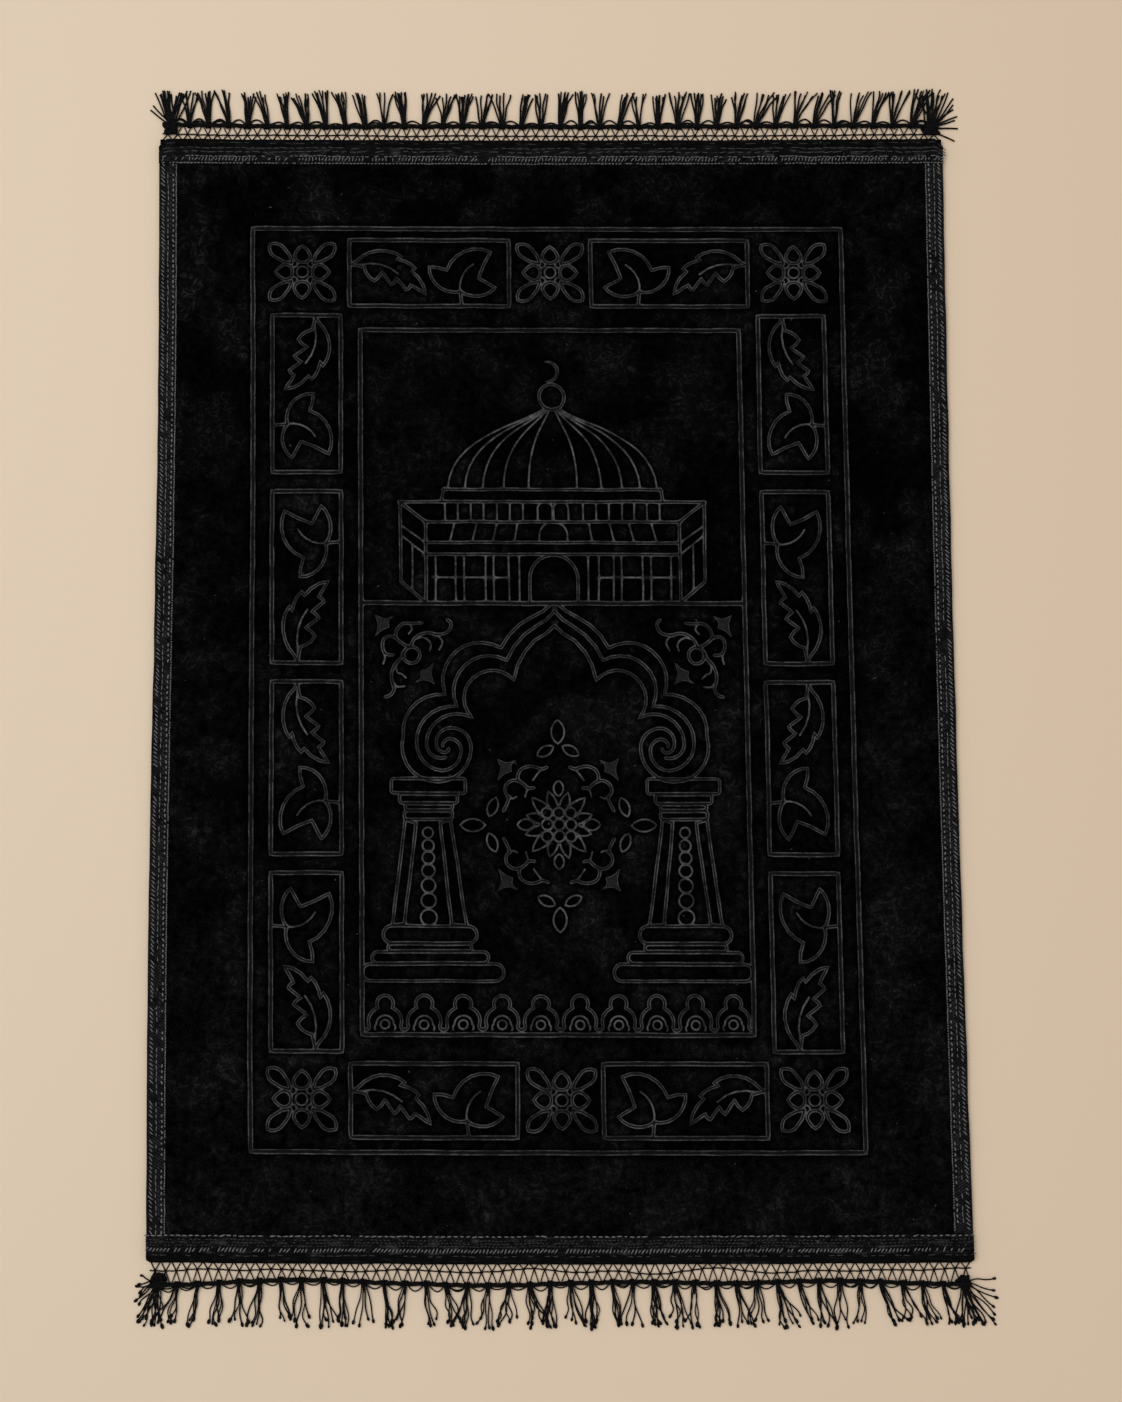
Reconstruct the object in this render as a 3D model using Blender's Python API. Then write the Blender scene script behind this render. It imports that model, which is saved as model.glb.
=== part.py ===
"""Prayer rug: a pressed velvet mat, four binding tapes and a knotted fringe trim at each end.

The rug lies on z = 0 with its head towards +Y. Plan sizes are in millimetres, measured from
the middle of the velvet body, and become metres when a mesh is made.
"""

import math
import random
from collections import namedtuple

import bmesh
import bpy
import numpy as np
from mathutils import Vector
from mathutils.geometry import delaunay_2d_cdt

MM = 0.001
COLLECTION_NAME = "prayer_rug"
SEED = 7

# Velvet body with its bindings
BODY_HALF_WIDTH = 400.0
BODY_HALF_LENGTH = 561.0
VELVET_TOP = 7.0
CLEARANCE = 0.3

# How the cloth lies: a slight lean, ends that sag towards the foot, edges that sway
BODY_LEAN = -0.0087
PATTERN_LEAN = -0.0047
END_BOW = 2.0
RIGHT_BOW = 3.0
LEFT_SWAY = 1.8

# Binding tapes, folded over the edge of the mat
SIDE_TAPE_WIDTH = 19.0
END_TAPE_WIDTH = 27.0
TAPE_THICKNESS = 1.0
TAPE_TOP = 5.9
SEAM_BOTTOM = 2.3
END_TAPE_LIFT = 1.5
ROLLED_EDGE_WIDTH = 8.4
SIDE_STATIONS = 9
END_STATIONS = 7

# Edge of the mat: swollen pile beside the tape, then a flat flange inside the fold
SWELL_INSET = 8.0
SWELL_EDGE_Z = 5.7
FLANGE_INSET = TAPE_THICKNESS + CLEARANCE
FLANGE_TOP = TAPE_TOP - TAPE_THICKNESS - CLEARANCE
FLANGE_BOTTOM = SEAM_BOTTOM + CLEARANCE

# Pressed lines: half width and depth in mm
Press = namedtuple("Press", "half_width depth")
BOLD = Press(2.5, 1.5)
PLAIN = Press(2.1, 1.3)
FINE = Press(1.5, 1.0)
ARC_STEP = math.radians(58.0)
MERGE_DISTANCE = 0.1

# Frames of the pattern: half width, head side and foot side
OUTER_FRAME = (300.8, 467.2, -457.0)
INNER_FRAME = (192.4, 361.3, -344.4)
GROUND_LINE = 81.6

# Fringe trim, measured outward from the edge of the body
Trim = namedtuple("Trim", "end net_depth reach side_reach_left side_reach_right")
HEAD_TRIM = Trim(+1, 12.4, 52.8, 410.0, 418.0)
FOOT_TRIM = Trim(-1, 15.5, 61.5, 411.0, 422.0)
TRIM_TUCK = 9.0
TRIM_HALF_WIDTH = 397.0
TRIM_THICKNESS = 1.2
NET_PITCH = 20.4
NET_PERIODS = 37
THREAD_WIDTH = 1.2
HEADER_WIDTH = 6.0
HEADER_Z = 3.2
KNOT_Z = 4.6
CORNER_KNOT_Z = 6.5
CORNER_KNOT_INSET = 4.0
TASSELS = 40
TASSEL_PITCH = 20.0
ROOT_PITCH = 2.6
ROOT_WIDTH = 1.5
YARN_HEIGHT = 1.3
YARN_WIDTH = 1.2
YARN_END_WIDTH = 2.2
TASSEL_SPREAD = 6.0
TASSEL_DRIFT = 1.6
DRIFT_KEPT = 0.6
TIP_STRAY = 0.8
OUTER_YARN_REACH = (0.88, 0.98)

# Yarns out of a corner knot: lift of the root, spread outward, share of the side reach
CornerYarn = namedtuple("CornerYarn", "lift spread share")
CORNER_YARNS = (CornerYarn(0.0, 0.7, 1.0), CornerYarn(3.2, 1.0, 0.75))
CORNER_BEND = 4.0
CORNER_TIP = 16.0

Line = namedtuple("Line", "points closed press")
Corner = namedtuple("Corner", "x y bulge")


# ---------------------------------------------------------------- plan geometry


def lay(x, y):
    """Where a point of the flat rug comes to lie."""
    along = max(-1.0, min(1.0, y / BODY_HALF_LENGTH))
    across = x / BODY_HALF_WIDTH
    right = min(1.3, max(0.0, across)) ** 3
    left = min(1.3, max(0.0, -across)) ** 3
    moved_x = x + BODY_LEAN * y
    moved_x -= RIGHT_BOW * right * math.cos(math.pi * along / 2)
    moved_x += LEFT_SWAY * left * math.sin(math.pi * along)
    moved_y = y - END_BOW * max(0.0, 1.0 - across * across) * abs(along) ** 3
    return moved_x, moved_y


def arc_edge(start, end, bulge):
    """Points from start up to but without end; bulge is the sagitta to the left of the way."""
    (x0, y0), (x1, y1) = start, end
    chord = math.hypot(x1 - x0, y1 - y0)
    if abs(bulge) < 1e-6:
        return [start]
    radius = (chord * chord / 4 + bulge * bulge) / (2 * abs(bulge))
    half_turn = 2 * math.atan2(2 * abs(bulge), chord)
    steps = max(2, round(2 * half_turn / ARC_STEP))
    side = math.copysign(1.0, bulge)
    ux, uy = (x1 - x0) / chord, (y1 - y0) / chord
    nx, ny = -uy * side, ux * side
    depth = radius - abs(bulge)
    cx, cy = (x0 + x1) / 2 - nx * depth, (y0 + y1) / 2 - ny * depth
    points = []
    for step in range(steps):
        angle = half_turn * (2 * step / steps - 1)
        along, out = radius * math.sin(angle), radius * math.cos(angle)
        points.append((cx + ux * along + nx * out, cy + uy * along + ny * out))
    return points


def outline(corners, closed=True):
    """Polyline through corners whose edges swell by their bulge."""
    points = []
    count = len(corners) if closed else len(corners) - 1
    for index in range(count):
        here, after = corners[index], corners[(index + 1) % len(corners)]
        points += arc_edge((here.x, here.y), (after.x, after.y), here.bulge)
    if not closed:
        points.append((corners[-1].x, corners[-1].y))
    return points


def rows(*table):
    """Corner rows from (x, y, bulge) triples."""
    return [Corner(*row) for row in table]


def ring(cx, cy, radius, sides):
    """A regular polygon whose corners lie on a circle."""
    turn = 2 * math.pi / sides
    return [(cx + radius * math.cos(k * turn), cy + radius * math.sin(k * turn)) for k in range(sides)]


def rectangle(x0, y0, x1, y1):
    """Corners of an upright rectangle, anticlockwise."""
    return [(x0, y0), (x1, y0), (x1, y1), (x0, y1)]


def almond(cx, cy, length, width, angle):
    """Pointed oval with its long axis at angle."""
    half = length / 2
    corners = rows((-half, 0, -width / 2), (half, 0, -width / 2))
    return shifted(turned(outline(corners), angle), cx, cy)


def turned(points, angle):
    """The points turned about (0, 0)."""
    c, s = math.cos(angle), math.sin(angle)
    return [(x * c - y * s, x * s + y * c) for x, y in points]


def shifted(points, dx, dy):
    """The points moved by (dx, dy)."""
    return [(x + dx, y + dy) for x, y in points]


def mirrored(points):
    """The points mirrored across the rug's long middle line."""
    return [(-x, y) for x, y in points]


def both_sides(lines):
    """The lines and their mirror images across the rug's middle."""
    return lines + [Line(mirrored(line.points), line.closed, line.press) for line in lines]


# ---------------------------------------------------------------- pressed pattern


def frame_lines():
    """The two plain frames, and the ground line across the inner one."""
    lines = []
    for half_width, head, foot in (OUTER_FRAME, INNER_FRAME):
        lines.append(Line(rectangle(-half_width, foot, half_width, head), True, BOLD))
    half_width = INNER_FRAME[0]
    lines.append(Line([(-half_width, GROUND_LINE), (half_width, GROUND_LINE)], False, BOLD))
    return lines


LEAF_PANEL = (162.0, 69.5)
SERRATED_LEAF = rows(
    (-74, 9, 22), (-4, -22, 0), (-25, -9, 0), (-32, -15, 0), (-43, -1, 0), (-54, -8, 0),
)
LOBED_LEAF = rows(
    (31.5, -19.5, -6), (67, -15, 0), (50, -5.5, 0), (62.5, 22.5, -10), (18, 3, 0), (0, 6.5, -10),
)

PanelPlace = namedtuple("PanelPlace", "x y length width turn flip")
LEFT_PANELS = (
    PanelPlace(-122.2, 420.8, 161.5, 69.0, 0, False),
    PanelPlace(-122.8, -407.5, 162.0, 71.0, 0, False),
    PanelPlace(-246.6, 294.0, 165.0, 69.0, -90, False),
    PanelPlace(-246.6, 108.2, 175.5, 69.0, 90, False),
    PanelPlace(-246.6, -82.7, 172.3, 69.0, -90, True),
    PanelPlace(-246.6, -273.3, 175.7, 69.0, 90, True),
)


def panel_lines(place):
    """A border panel: its frame, a serrated leaf and a three-lobed leaf on a stem."""
    half_length, half_width = LEAF_PANEL[0] / 2, LEAF_PANEL[1] / 2
    drawn = [
        Line(rectangle(-half_length, -half_width, half_length, half_width), True, PLAIN),
        Line(outline(SERRATED_LEAF), True, FINE),
        Line(outline(LOBED_LEAF), True, FINE),
    ]
    scale_x, scale_y = place.length / LEAF_PANEL[0], place.width / LEAF_PANEL[1]
    placed = []
    for line in drawn:
        points = [(x * scale_x, y * scale_y) for x, y in line.points]
        points = turned(points, math.radians(place.turn))
        if place.flip:
            points = mirrored(points)
        placed.append(Line(shifted(points, place.x, place.y), line.closed, line.press))
    return placed


FLOWER_CENTRES = (
    (-250.7, 421.5), (0, 421.5), (250.7, 421.5), (-251, -406.5), (1, -407), (251, -406.5),
)
ROSETTE_LOBE = ((8.5, -8.5), (22, -6.5), (22, 6.5))
PETAL_RADIUS = 28.5
PETAL_LENGTH = 27.0
PETAL_WIDTH = 14.0


def flower_lines(cx, cy):
    """Border flower: a rosette of four round lobes, and four diagonal petals."""
    rosette = []
    petals = []
    for quarter in range(4):
        angle = math.pi * quarter / 2
        rosette += turned(ROSETTE_LOBE, angle)
        petal = almond(PETAL_RADIUS, 0, PETAL_LENGTH, PETAL_WIDTH, 0)
        petals.append(turned(petal, angle + math.pi / 4))
    return [Line(shifted(points, cx, cy), True, FINE) for points in [rosette] + petals]


DOME_BASE = 197.0
DOME_APEX = 280.0
DOME_RIBS = (24.5, 50.5, 79.0, 105.5)
DOME_STEPS = 3


def dome_rib(base):
    """One rib of the ogee dome, from its foot up to the apex."""
    reach = base / DOME_RIBS[-1]
    corners = ((base, DOME_BASE), (0.96 * base, 250.0), (45 * reach, 258.0), (1 + 6 * reach, DOME_APEX))
    points = []
    for step in range(DOME_STEPS + 1):
        t = step / DOME_STEPS
        weights = ((1 - t) ** 3, 3 * t * (1 - t) ** 2, 3 * t * t * (1 - t), t ** 3)
        points.append(tuple(sum(w * c[axis] for w, c in zip(weights, corners)) for axis in (0, 1)))
    return points


BALL_Y = 292.0
BALL_RADIUS = 13.0
CRESCENT = rows((-5, 331, 12), (-5, 311, 0))
DOOR = rows((-23.5, GROUND_LINE, 36), (23.5, GROUND_LINE, 0))
WING = ((153, 184.5), (152.5, 103.5), (127.5, GROUND_LINE))

# Level lines of the building, and its upright and slanting lines on the right
Level = namedtuple("Level", "height reach")
LEVELS = (
    Level(DOME_BASE, 109), Level(184.5, 153), Level(164, 127.5), Level(143, 127.5), Level(131, 127.5),
)
WallLine = namedtuple("WallLine", "x_top y_top x_low y_low")
WALL_LINES = (
    WallLine(109, DOME_BASE, 111, 184.5), WallLine(127.5, 164, 127.5, GROUND_LINE),
    WallLine(153, 184.5, 127.5, 164), WallLine(152.5, 150, 127.5, 131),
    WallLine(44, 131, 44, GROUND_LINE), WallLine(85, 131, 85, GROUND_LINE),
    WallLine(36, 164, 40, 143), WallLine(76, 164, 81.5, 143),
)


def mosque_lines():
    """Domed building on the ground line: crescent, ball, ribbed dome, storeys and wings."""
    lines = [
        Line(ring(0, BALL_Y, BALL_RADIUS, 8), True, PLAIN),
        Line(outline(CRESCENT, closed=False), False, BOLD),
        Line(outline(DOOR, closed=False), False, PLAIN),
    ]
    for level in LEVELS:
        lines.append(Line([(-level.reach, level.height), (level.reach, level.height)], False, PLAIN))
    right = [Line(dome_rib(base), False, PLAIN) for base in DOME_RIBS]
    right.append(Line(list(WING), False, PLAIN))
    for wall in WALL_LINES:
        right.append(Line([(wall.x_top, wall.y_top), (wall.x_low, wall.y_low)], False, FINE))
    return lines + both_sides(right)


# Right half of the lobed arch, from the apex out to the curled end of each line
ARCH_OUTER = rows(
    (3, GROUND_LINE, -1.5), (22, 68, 4), (53.5, 36.5, 26), (109, -10, 14.5), (151, -52, 14.5),
    (117, -97, 9.5), (84, -64, 6), (104, -43.5, 5), (118, -60, 2), (111, -68, 0),
)
ARCH_MIDDLE = rows(
    (0, 74, -1.5), (17.5, 59, 4), (48, 24, 25), (97.2, -22, 12.5), (138, -58, 7.5), (113, -86, 5),
    (94, -68, 3.6), (104, -56, 2.5), (111, -64, 0),
)
ARCH_INNER = rows(
    (0, 59, -1.5), (20, 44, 4), (41, 4, 29), (82.8, -33.5, 14.5), (128, -58, 6.5), (108, -71, 0),
)

# Mouldings of a column as steps downward: inner and outer reach, top and bottom
Moulding = namedtuple("Moulding", "near far top bottom")
CAPITAL = (Moulding(90, 163, -93.5, -109), Moulding(98, 155, -109, -120), Moulding(103, 150, -120, -134.6))
FOOTING = (
    Moulding(80.4, 171.6, -238.5, -256), Moulding(85.4, 166.7, -256, -264),
    Moulding(68.8, 182.4, -264, -276), Moulding(54.3, 192.4, -276, -292.8),
)
SHAFT_LINES = (
    ((149.3, -134.6), (162.6, -238.5)), ((138.5, -134.6), (150.9, -238.5)),
    ((114.8, -134.6), (104.7, -238.5)), ((104.9, -134.6), (90.0, -238.5)),
)


def arch_and_column_lines():
    """Three lobed arch lines and the columns that carry them, on both sides."""
    right = []
    for corners in (ARCH_OUTER, ARCH_MIDDLE, ARCH_INNER):
        right.append(Line(outline(corners, closed=False), False, BOLD))
    for moulding in CAPITAL + FOOTING:
        wall = [(moulding.near, moulding.top), (moulding.near, moulding.bottom),
                (moulding.far, moulding.bottom), (moulding.far, moulding.top)]
        right.append(Line(wall, False, PLAIN))
    for first in (CAPITAL[0], FOOTING[0], FOOTING[2]):
        right.append(Line([(first.near, first.top), (first.far, first.top)], False, PLAIN))
    for shaft in SHAFT_LINES:
        right.append(Line(list(shaft), False, PLAIN))
    return both_sides(right)


CRESTS = 10
CREST_PITCH = 38.4
CREST = rows(
    (-15.5, INNER_FRAME[2], 0), (-8, -318, 9), (8, -318, 0), (15.5, INNER_FRAME[2], 0),
)


def crest_lines():
    """Row of small trefoil arches that stand on the inner frame."""
    lines = []
    for index in range(CRESTS):
        centre = (index - (CRESTS - 1) / 2) * CREST_PITCH
        lines.append(Line(shifted(outline(CREST, closed=False), centre, 0), False, FINE))
    return lines


MEDALLION_Y = -139.3
STAR_ARM = 5.5
MEDALLION_PETALS = 12
MEDALLION_TIP_RADIUS = 29.0
MEDALLION_NOTCH_RADIUS = 20.5
MEDALLION_EYE_RADIUS = 12.0
STAR_CENTRES = ((-51, -83.5), (51, -83.5), (-51.6, -198.2), (51.6, -198.2),
                (-170.3, 61), (170.3, 61), (-125.7, 9), (125.7, 9))
Oval = namedtuple("Oval", "x y length width turn")
MEDALLION_OVALS = (
    Oval(0, 92, 25, 14, 90), Oval(-12.5, 73, 18, 10, 30), Oval(12.5, 73, 18, 10, -30),
    Oval(0, -94, 25, 14, 90), Oval(-13, -75.5, 18, 10, -25), Oval(13, -75.5, 18, 10, 25),
    Oval(-84.8, 0, 25, 14, 0), Oval(-66, 17.5, 18, 10, 65), Oval(-66, -17.5, 18, 10, -65),
    Oval(84.8, 0, 25, 14, 0), Oval(66, 17.5, 18, 10, -65), Oval(66, -17.5, 18, 10, 65),
    Oval(0, 36, 14, 11, 90), Oval(0, -36, 14, 11, 90), Oval(-32.5, 0, 14, 11, 0), Oval(32.5, 0, 14, 11, 0),
)


def medallion_lines():
    """Medallion under the arch: a petalled ring, its eye, buds and outlying leaves."""
    petals = []
    for index in range(MEDALLION_PETALS):
        angle = 2 * math.pi * (index + 0.5) / MEDALLION_PETALS
        notch_angle = angle + math.pi / MEDALLION_PETALS
        for radius, turn in ((MEDALLION_TIP_RADIUS, angle), (MEDALLION_NOTCH_RADIUS, notch_angle)):
            petals.append((radius * math.cos(turn), MEDALLION_Y + radius * math.sin(turn)))
    lines = [
        Line(petals, True, FINE),
        Line(ring(0, MEDALLION_Y, MEDALLION_EYE_RADIUS, 6), True, FINE),
    ]
    for oval in MEDALLION_OVALS:
        points = almond(oval.x, MEDALLION_Y + oval.y, oval.length, oval.width, math.radians(oval.turn))
        lines.append(Line(points, True, FINE))
    return lines


def star_lines():
    """Small pressed stars in the corners of the medallion and over the arch."""
    star = rectangle(-STAR_ARM, -STAR_ARM, STAR_ARM, STAR_ARM)
    return [Line(shifted(star, cx, cy), True, BOLD) for cx, cy in STAR_CENTRES]


def pattern_lines():
    """Every pressed line of the mat, leaning as the pattern does on its ground."""
    lines = frame_lines() + mosque_lines() + arch_and_column_lines() + crest_lines()
    lines += medallion_lines() + star_lines()
    for place in LEFT_PANELS:
        lines += both_sides(panel_lines(place))
    for cx, cy in FLOWER_CENTRES:
        lines += flower_lines(cx, cy)
    leaning = []
    for line in lines:
        points = [(x + PATTERN_LEAN * y, y) for x, y in line.points]
        leaning.append(Line(points, line.closed, line.press))
    return leaning


# ---------------------------------------------------------------- relief of the velvet


def offset(points, closed, distance):
    """The polyline moved sideways to its left, with mitred corners."""
    moved = []
    count = len(points)
    for index in range(count):
        here = Vector(points[index])
        before = Vector(points[index - 1]) if closed or index else None
        after = Vector(points[(index + 1) % count]) if closed or index < count - 1 else None
        normals = []
        if before is not None:
            normals.append((here - before).normalized().orthogonal())
        if after is not None:
            normals.append((after - here).normalized().orthogonal())
        mean = sum(normals, Vector((0.0, 0.0))).normalized()
        stretch = min(1.6, 1.0 / max(0.3, mean.dot(normals[0])))
        moved.append(tuple(here + mean * distance * stretch))
    return moved


def groove_loops(line):
    """The rim loops of a pressed line; an open line gets a pointed end."""
    width = line.press.half_width
    left = offset(line.points, line.closed, width)
    right = offset(line.points, line.closed, -width)
    if line.closed:
        return [left, right]
    first, second = Vector(line.points[0]), Vector(line.points[1])
    last, before = Vector(line.points[-1]), Vector(line.points[-2])
    start = first - (second - first).normalized() * width
    end = last + (last - before).normalized() * width
    return [[tuple(start)] + left + [tuple(end)] + right[::-1]]


def sink(points, lines):
    """How deep each point lies in the pressed lines, in mm, as an array."""
    places = np.array(points)
    depth = np.zeros(len(places))
    for line in lines:
        width, deepest = line.press
        ends = line.points[1:] + line.points[:1] if line.closed else line.points[1:]
        for start, end in zip(line.points, ends):
            a, b = np.array(start), np.array(end)
            way = b - a
            along = np.clip(((places - a) @ way) / max(way @ way, 1e-9), 0.0, 1.0)
            away = np.linalg.norm(places - a - along[:, None] * way, axis=1)
            depth = np.maximum(depth, deepest * np.clip(1.0 - away / width, 0.0, 1.0))
    return depth


class Plan:
    """Points and edges of a flat drawing, made into triangles that keep every edge."""

    def __init__(self):
        self.points = []
        self.edges = []

    def add(self, points, closed=True):
        """Add a polyline and give the numbers of its points."""
        first = len(self.points)
        self.points += [Vector(point) for point in points]
        count = len(points)
        for index in range(count if closed else count - 1):
            self.edges.append((first + index, first + (index + 1) % count))
        return list(range(first, first + count))

    def triangles(self, faces=(), kind=0):
        """Points, triangles, and for each triangle the given faces that it lies in."""
        result = delaunay_2d_cdt(self.points, self.edges, list(faces), kind, MERGE_DISTANCE)
        return result[0], result[2], result[5]


def rim_points(half_u, half_v):
    """A rectangle's points, with stations along each side for the way the edges sway."""
    points = []
    for index in range(SIDE_STATIONS - 1):
        points.append((half_u, -half_v + 2 * half_v * index / (SIDE_STATIONS - 1)))
    for index in range(END_STATIONS - 1):
        points.append((half_u - 2 * half_u * index / (END_STATIONS - 1), half_v))
    return points + [(-x, -y) for x, y in points]


def new_object(name, bm, material):
    """Finish a bmesh laid out in flat millimetres and link it as a named object."""
    for vert in bm.verts:
        x, y = lay(vert.co.x, vert.co.y)
        vert.co = Vector((x, y, vert.co.z)) * MM
    bmesh.ops.recalc_face_normals(bm, faces=bm.faces)
    mesh = bpy.data.meshes.new(name)
    bm.to_mesh(mesh)
    bm.free()
    mesh.materials.append(material)
    part = bpy.data.objects.new(name, mesh)
    bpy.data.collections[COLLECTION_NAME].objects.link(part)
    return part


def build_velvet_mat(material):
    """One flat mat: pressed top, swollen edge, and the flange that the tapes fold over."""
    lines = pattern_lines()
    top_u = BODY_HALF_WIDTH - SIDE_TAPE_WIDTH - SWELL_INSET
    top_v = BODY_HALF_LENGTH - END_TAPE_WIDTH - SWELL_INSET
    plan = Plan()
    plan.add(rim_points(top_u, top_v))
    for line in lines:
        plan.add(line.points, line.closed)
        for loop in groove_loops(line):
            plan.add(loop)
    points, faces, _ = plan.triangles()
    depth = sink([tuple(point) for point in points], lines)

    bm = bmesh.new()
    verts = [bm.verts.new((p.x, p.y, VELVET_TOP - d)) for p, d in zip(points, depth)]
    for face in faces:
        bm.faces.new([verts[index] for index in face])

    inside_u = BODY_HALF_WIDTH - SIDE_TAPE_WIDTH - CLEARANCE
    inside_v = BODY_HALF_LENGTH - END_TAPE_WIDTH - CLEARANCE
    flange_u = BODY_HALF_WIDTH - FLANGE_INSET
    flange_v = BODY_HALF_LENGTH - FLANGE_INSET
    rims = (
        (inside_u, inside_v, SWELL_EDGE_Z),
        (inside_u, inside_v, FLANGE_TOP),
        (flange_u, flange_v, FLANGE_TOP),
        (flange_u, flange_v, FLANGE_BOTTOM),
        (inside_u, inside_v, FLANGE_BOTTOM),
        (inside_u, inside_v, 0.0),
    )
    edges = [edge for edge in bm.edges if edge.is_boundary]
    half_u, half_v = top_u, top_v
    for next_u, next_v, z in rims:
        grown = bmesh.ops.extrude_edge_only(bm, edges=edges)["geom"]
        for vert in (item for item in grown if isinstance(item, bmesh.types.BMVert)):
            vert.co = Vector((vert.co.x * next_u / half_u, vert.co.y * next_v / half_v, z))
        edges = [item for item in grown if isinstance(item, bmesh.types.BMEdge) and item.is_boundary]
        half_u, half_v = next_u, next_v
    bmesh.ops.holes_fill(bm, edges=edges, sides=0)
    return new_object("velvet_mat", bm, material)


# ---------------------------------------------------------------- binding tapes


def side_tape_section():
    """Section of the side tape: (distance in from the edge, height)."""
    width, inner_top, lip = SIDE_TAPE_WIDTH, TAPE_TOP - TAPE_THICKNESS, TAPE_THICKNESS
    return [
        (0.0, 1.2), (0.0, 4.6), (0.9, 5.6), (3.2, TAPE_TOP), (width, TAPE_TOP), (width, inner_top),
        (lip, inner_top), (lip, SEAM_BOTTOM), (width, SEAM_BOTTOM), (width, 0.0), (1.2, 0.0),
    ]


def end_tape_section():
    """Section of the end tape: a sewn zone, a crease and a rolled outer edge."""
    width, inner_top, lip = END_TAPE_WIDTH, TAPE_TOP - TAPE_THICKNESS, TAPE_THICKNESS
    crease = ROLLED_EDGE_WIDTH
    return [
        (0.0, 2.4), (0.0, 4.3), (1.4, 5.6), (4.2, 6.2), (crease - 0.9, 5.8), (crease, 5.3),
        (crease + 0.9, TAPE_TOP), (width, TAPE_TOP), (width, inner_top), (lip, inner_top),
        (lip, SEAM_BOTTOM), (width, SEAM_BOTTOM), (width, END_TAPE_LIFT), (0.8, END_TAPE_LIFT),
    ]


def sweep_section(bm, places):
    """Extrude a section face along a tape; places holds its corners at each station."""
    face = bm.faces.new([bm.verts.new(corner) for corner in places[0]])
    for corners in places[1:]:
        face = bmesh.ops.extrude_discrete_faces(bm, faces=[face])["faces"][0]
        for vert, corner in zip(face.verts, corners):
            vert.co = corner
    bmesh.ops.holes_fill(bm, edges=[edge for edge in bm.edges if edge.is_boundary], sides=0)


def build_side_tape(name, side, material):
    """Side binding tape, from end tape to end tape; side is -1 for left and +1 for right."""
    half_length = BODY_HALF_LENGTH - END_TAPE_WIDTH - CLEARANCE
    places = []
    for index in range(SIDE_STATIONS):
        y = half_length * (2 * index / (SIDE_STATIONS - 1) - 1)
        section = side_tape_section()
        places.append([Vector((side * (BODY_HALF_WIDTH - inset), y, z)) for inset, z in section])
    bm = bmesh.new()
    sweep_section(bm, places)
    return new_object(name, bm, material)


def build_end_tape(name, end, material):
    """End binding tape across the whole width, over the ends of the side tapes."""
    places = []
    for index in range(END_STATIONS):
        x = BODY_HALF_WIDTH * (2 * index / (END_STATIONS - 1) - 1)
        section = end_tape_section()
        places.append([Vector((x, end * (BODY_HALF_LENGTH - inset), z)) for inset, z in section])
    bm = bmesh.new()
    sweep_section(bm, places)
    return new_object(name, bm, material)


# ---------------------------------------------------------------- fringe trim


def inset_triangle(corners, distance):
    """A triangle drawn in by distance on every side, its corners in anticlockwise order."""
    points = [Vector(corner) for corner in corners]
    if (points[1] - points[0]).cross(points[2] - points[0]) < 0.0:
        points.reverse()
    sides = [(points[index] - points[index - 1]).length for index in (2, 0, 1)]
    perimeter = sum(sides)
    centre = sum((side * point for side, point in zip(sides, points)), Vector((0.0, 0.0))) / perimeter
    doubled = (points[1] - points[0]).cross(points[2] - points[0])
    keep = 1.0 - distance * perimeter / doubled
    return [tuple(centre + (point - centre) * keep) for point in points]


def net_gaps(trim):
    """Triangular gaps of the net as (s, t) triangles: s along the edge, t outward."""
    middle = trim.net_depth / 2
    first = -NET_PERIODS * NET_PITCH / 2
    gaps = []
    for index in range(NET_PERIODS):
        start, crossing, end = (first + (index + part) * NET_PITCH for part in (0.0, 0.5, 1.0))
        for edge in (0.0, trim.net_depth):
            gaps.append([(start, edge), (end, edge), (crossing, middle)])
        if index < NET_PERIODS - 1:
            for edge in (0.0, trim.net_depth):
                gaps.append([(crossing, middle), (crossing + NET_PITCH, middle), (end, edge)])
    return [inset_triangle(gap, THREAD_WIDTH / 2) for gap in gaps]


Yarn = namedtuple("Yarn", "root path")


def tassel_yarns(trim, rng):
    """Roots along the header and the plan path of each yarn, three to a tassel."""
    base = trim.net_depth + HEADER_WIDTH
    length = trim.reach - base
    yarns = []
    drift = 0.0
    for index in range(TASSELS):
        centre = (index - (TASSELS - 1) / 2) * TASSEL_PITCH
        drift = DRIFT_KEPT * drift + rng.uniform(-TASSEL_DRIFT, TASSEL_DRIFT)
        for strand in (-1, 0, 1):
            root = centre + strand * ROOT_PITCH
            tip = centre + drift + strand * TASSEL_SPREAD + rng.uniform(-TIP_STRAY, TIP_STRAY)
            reach = length * (1.0 if strand == 0 else rng.uniform(*OUTER_YARN_REACH))
            yarns.append(Yarn((root, base), [(tip, base + reach)]))
    return yarns


def corner_yarns(trim):
    """Two yarns that splay out of the knot at each corner."""
    base = trim.net_depth
    yarns = []
    for side, reach in ((-1, trim.side_reach_left), (1, trim.side_reach_right)):
        for yarn in CORNER_YARNS:
            start = base - 1.0 + yarn.lift
            out = (reach - TRIM_HALF_WIDTH) * yarn.share
            bend = start + CORNER_BEND * yarn.spread + yarn.lift
            tip = start + CORNER_TIP * yarn.spread + 2 * yarn.lift
            path = [(side * (TRIM_HALF_WIDTH + out / 2), bend), (side * (TRIM_HALF_WIDTH + out), tip)]
            yarns.append(Yarn((side * TRIM_HALF_WIDTH, start), path))
    return yarns


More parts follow.
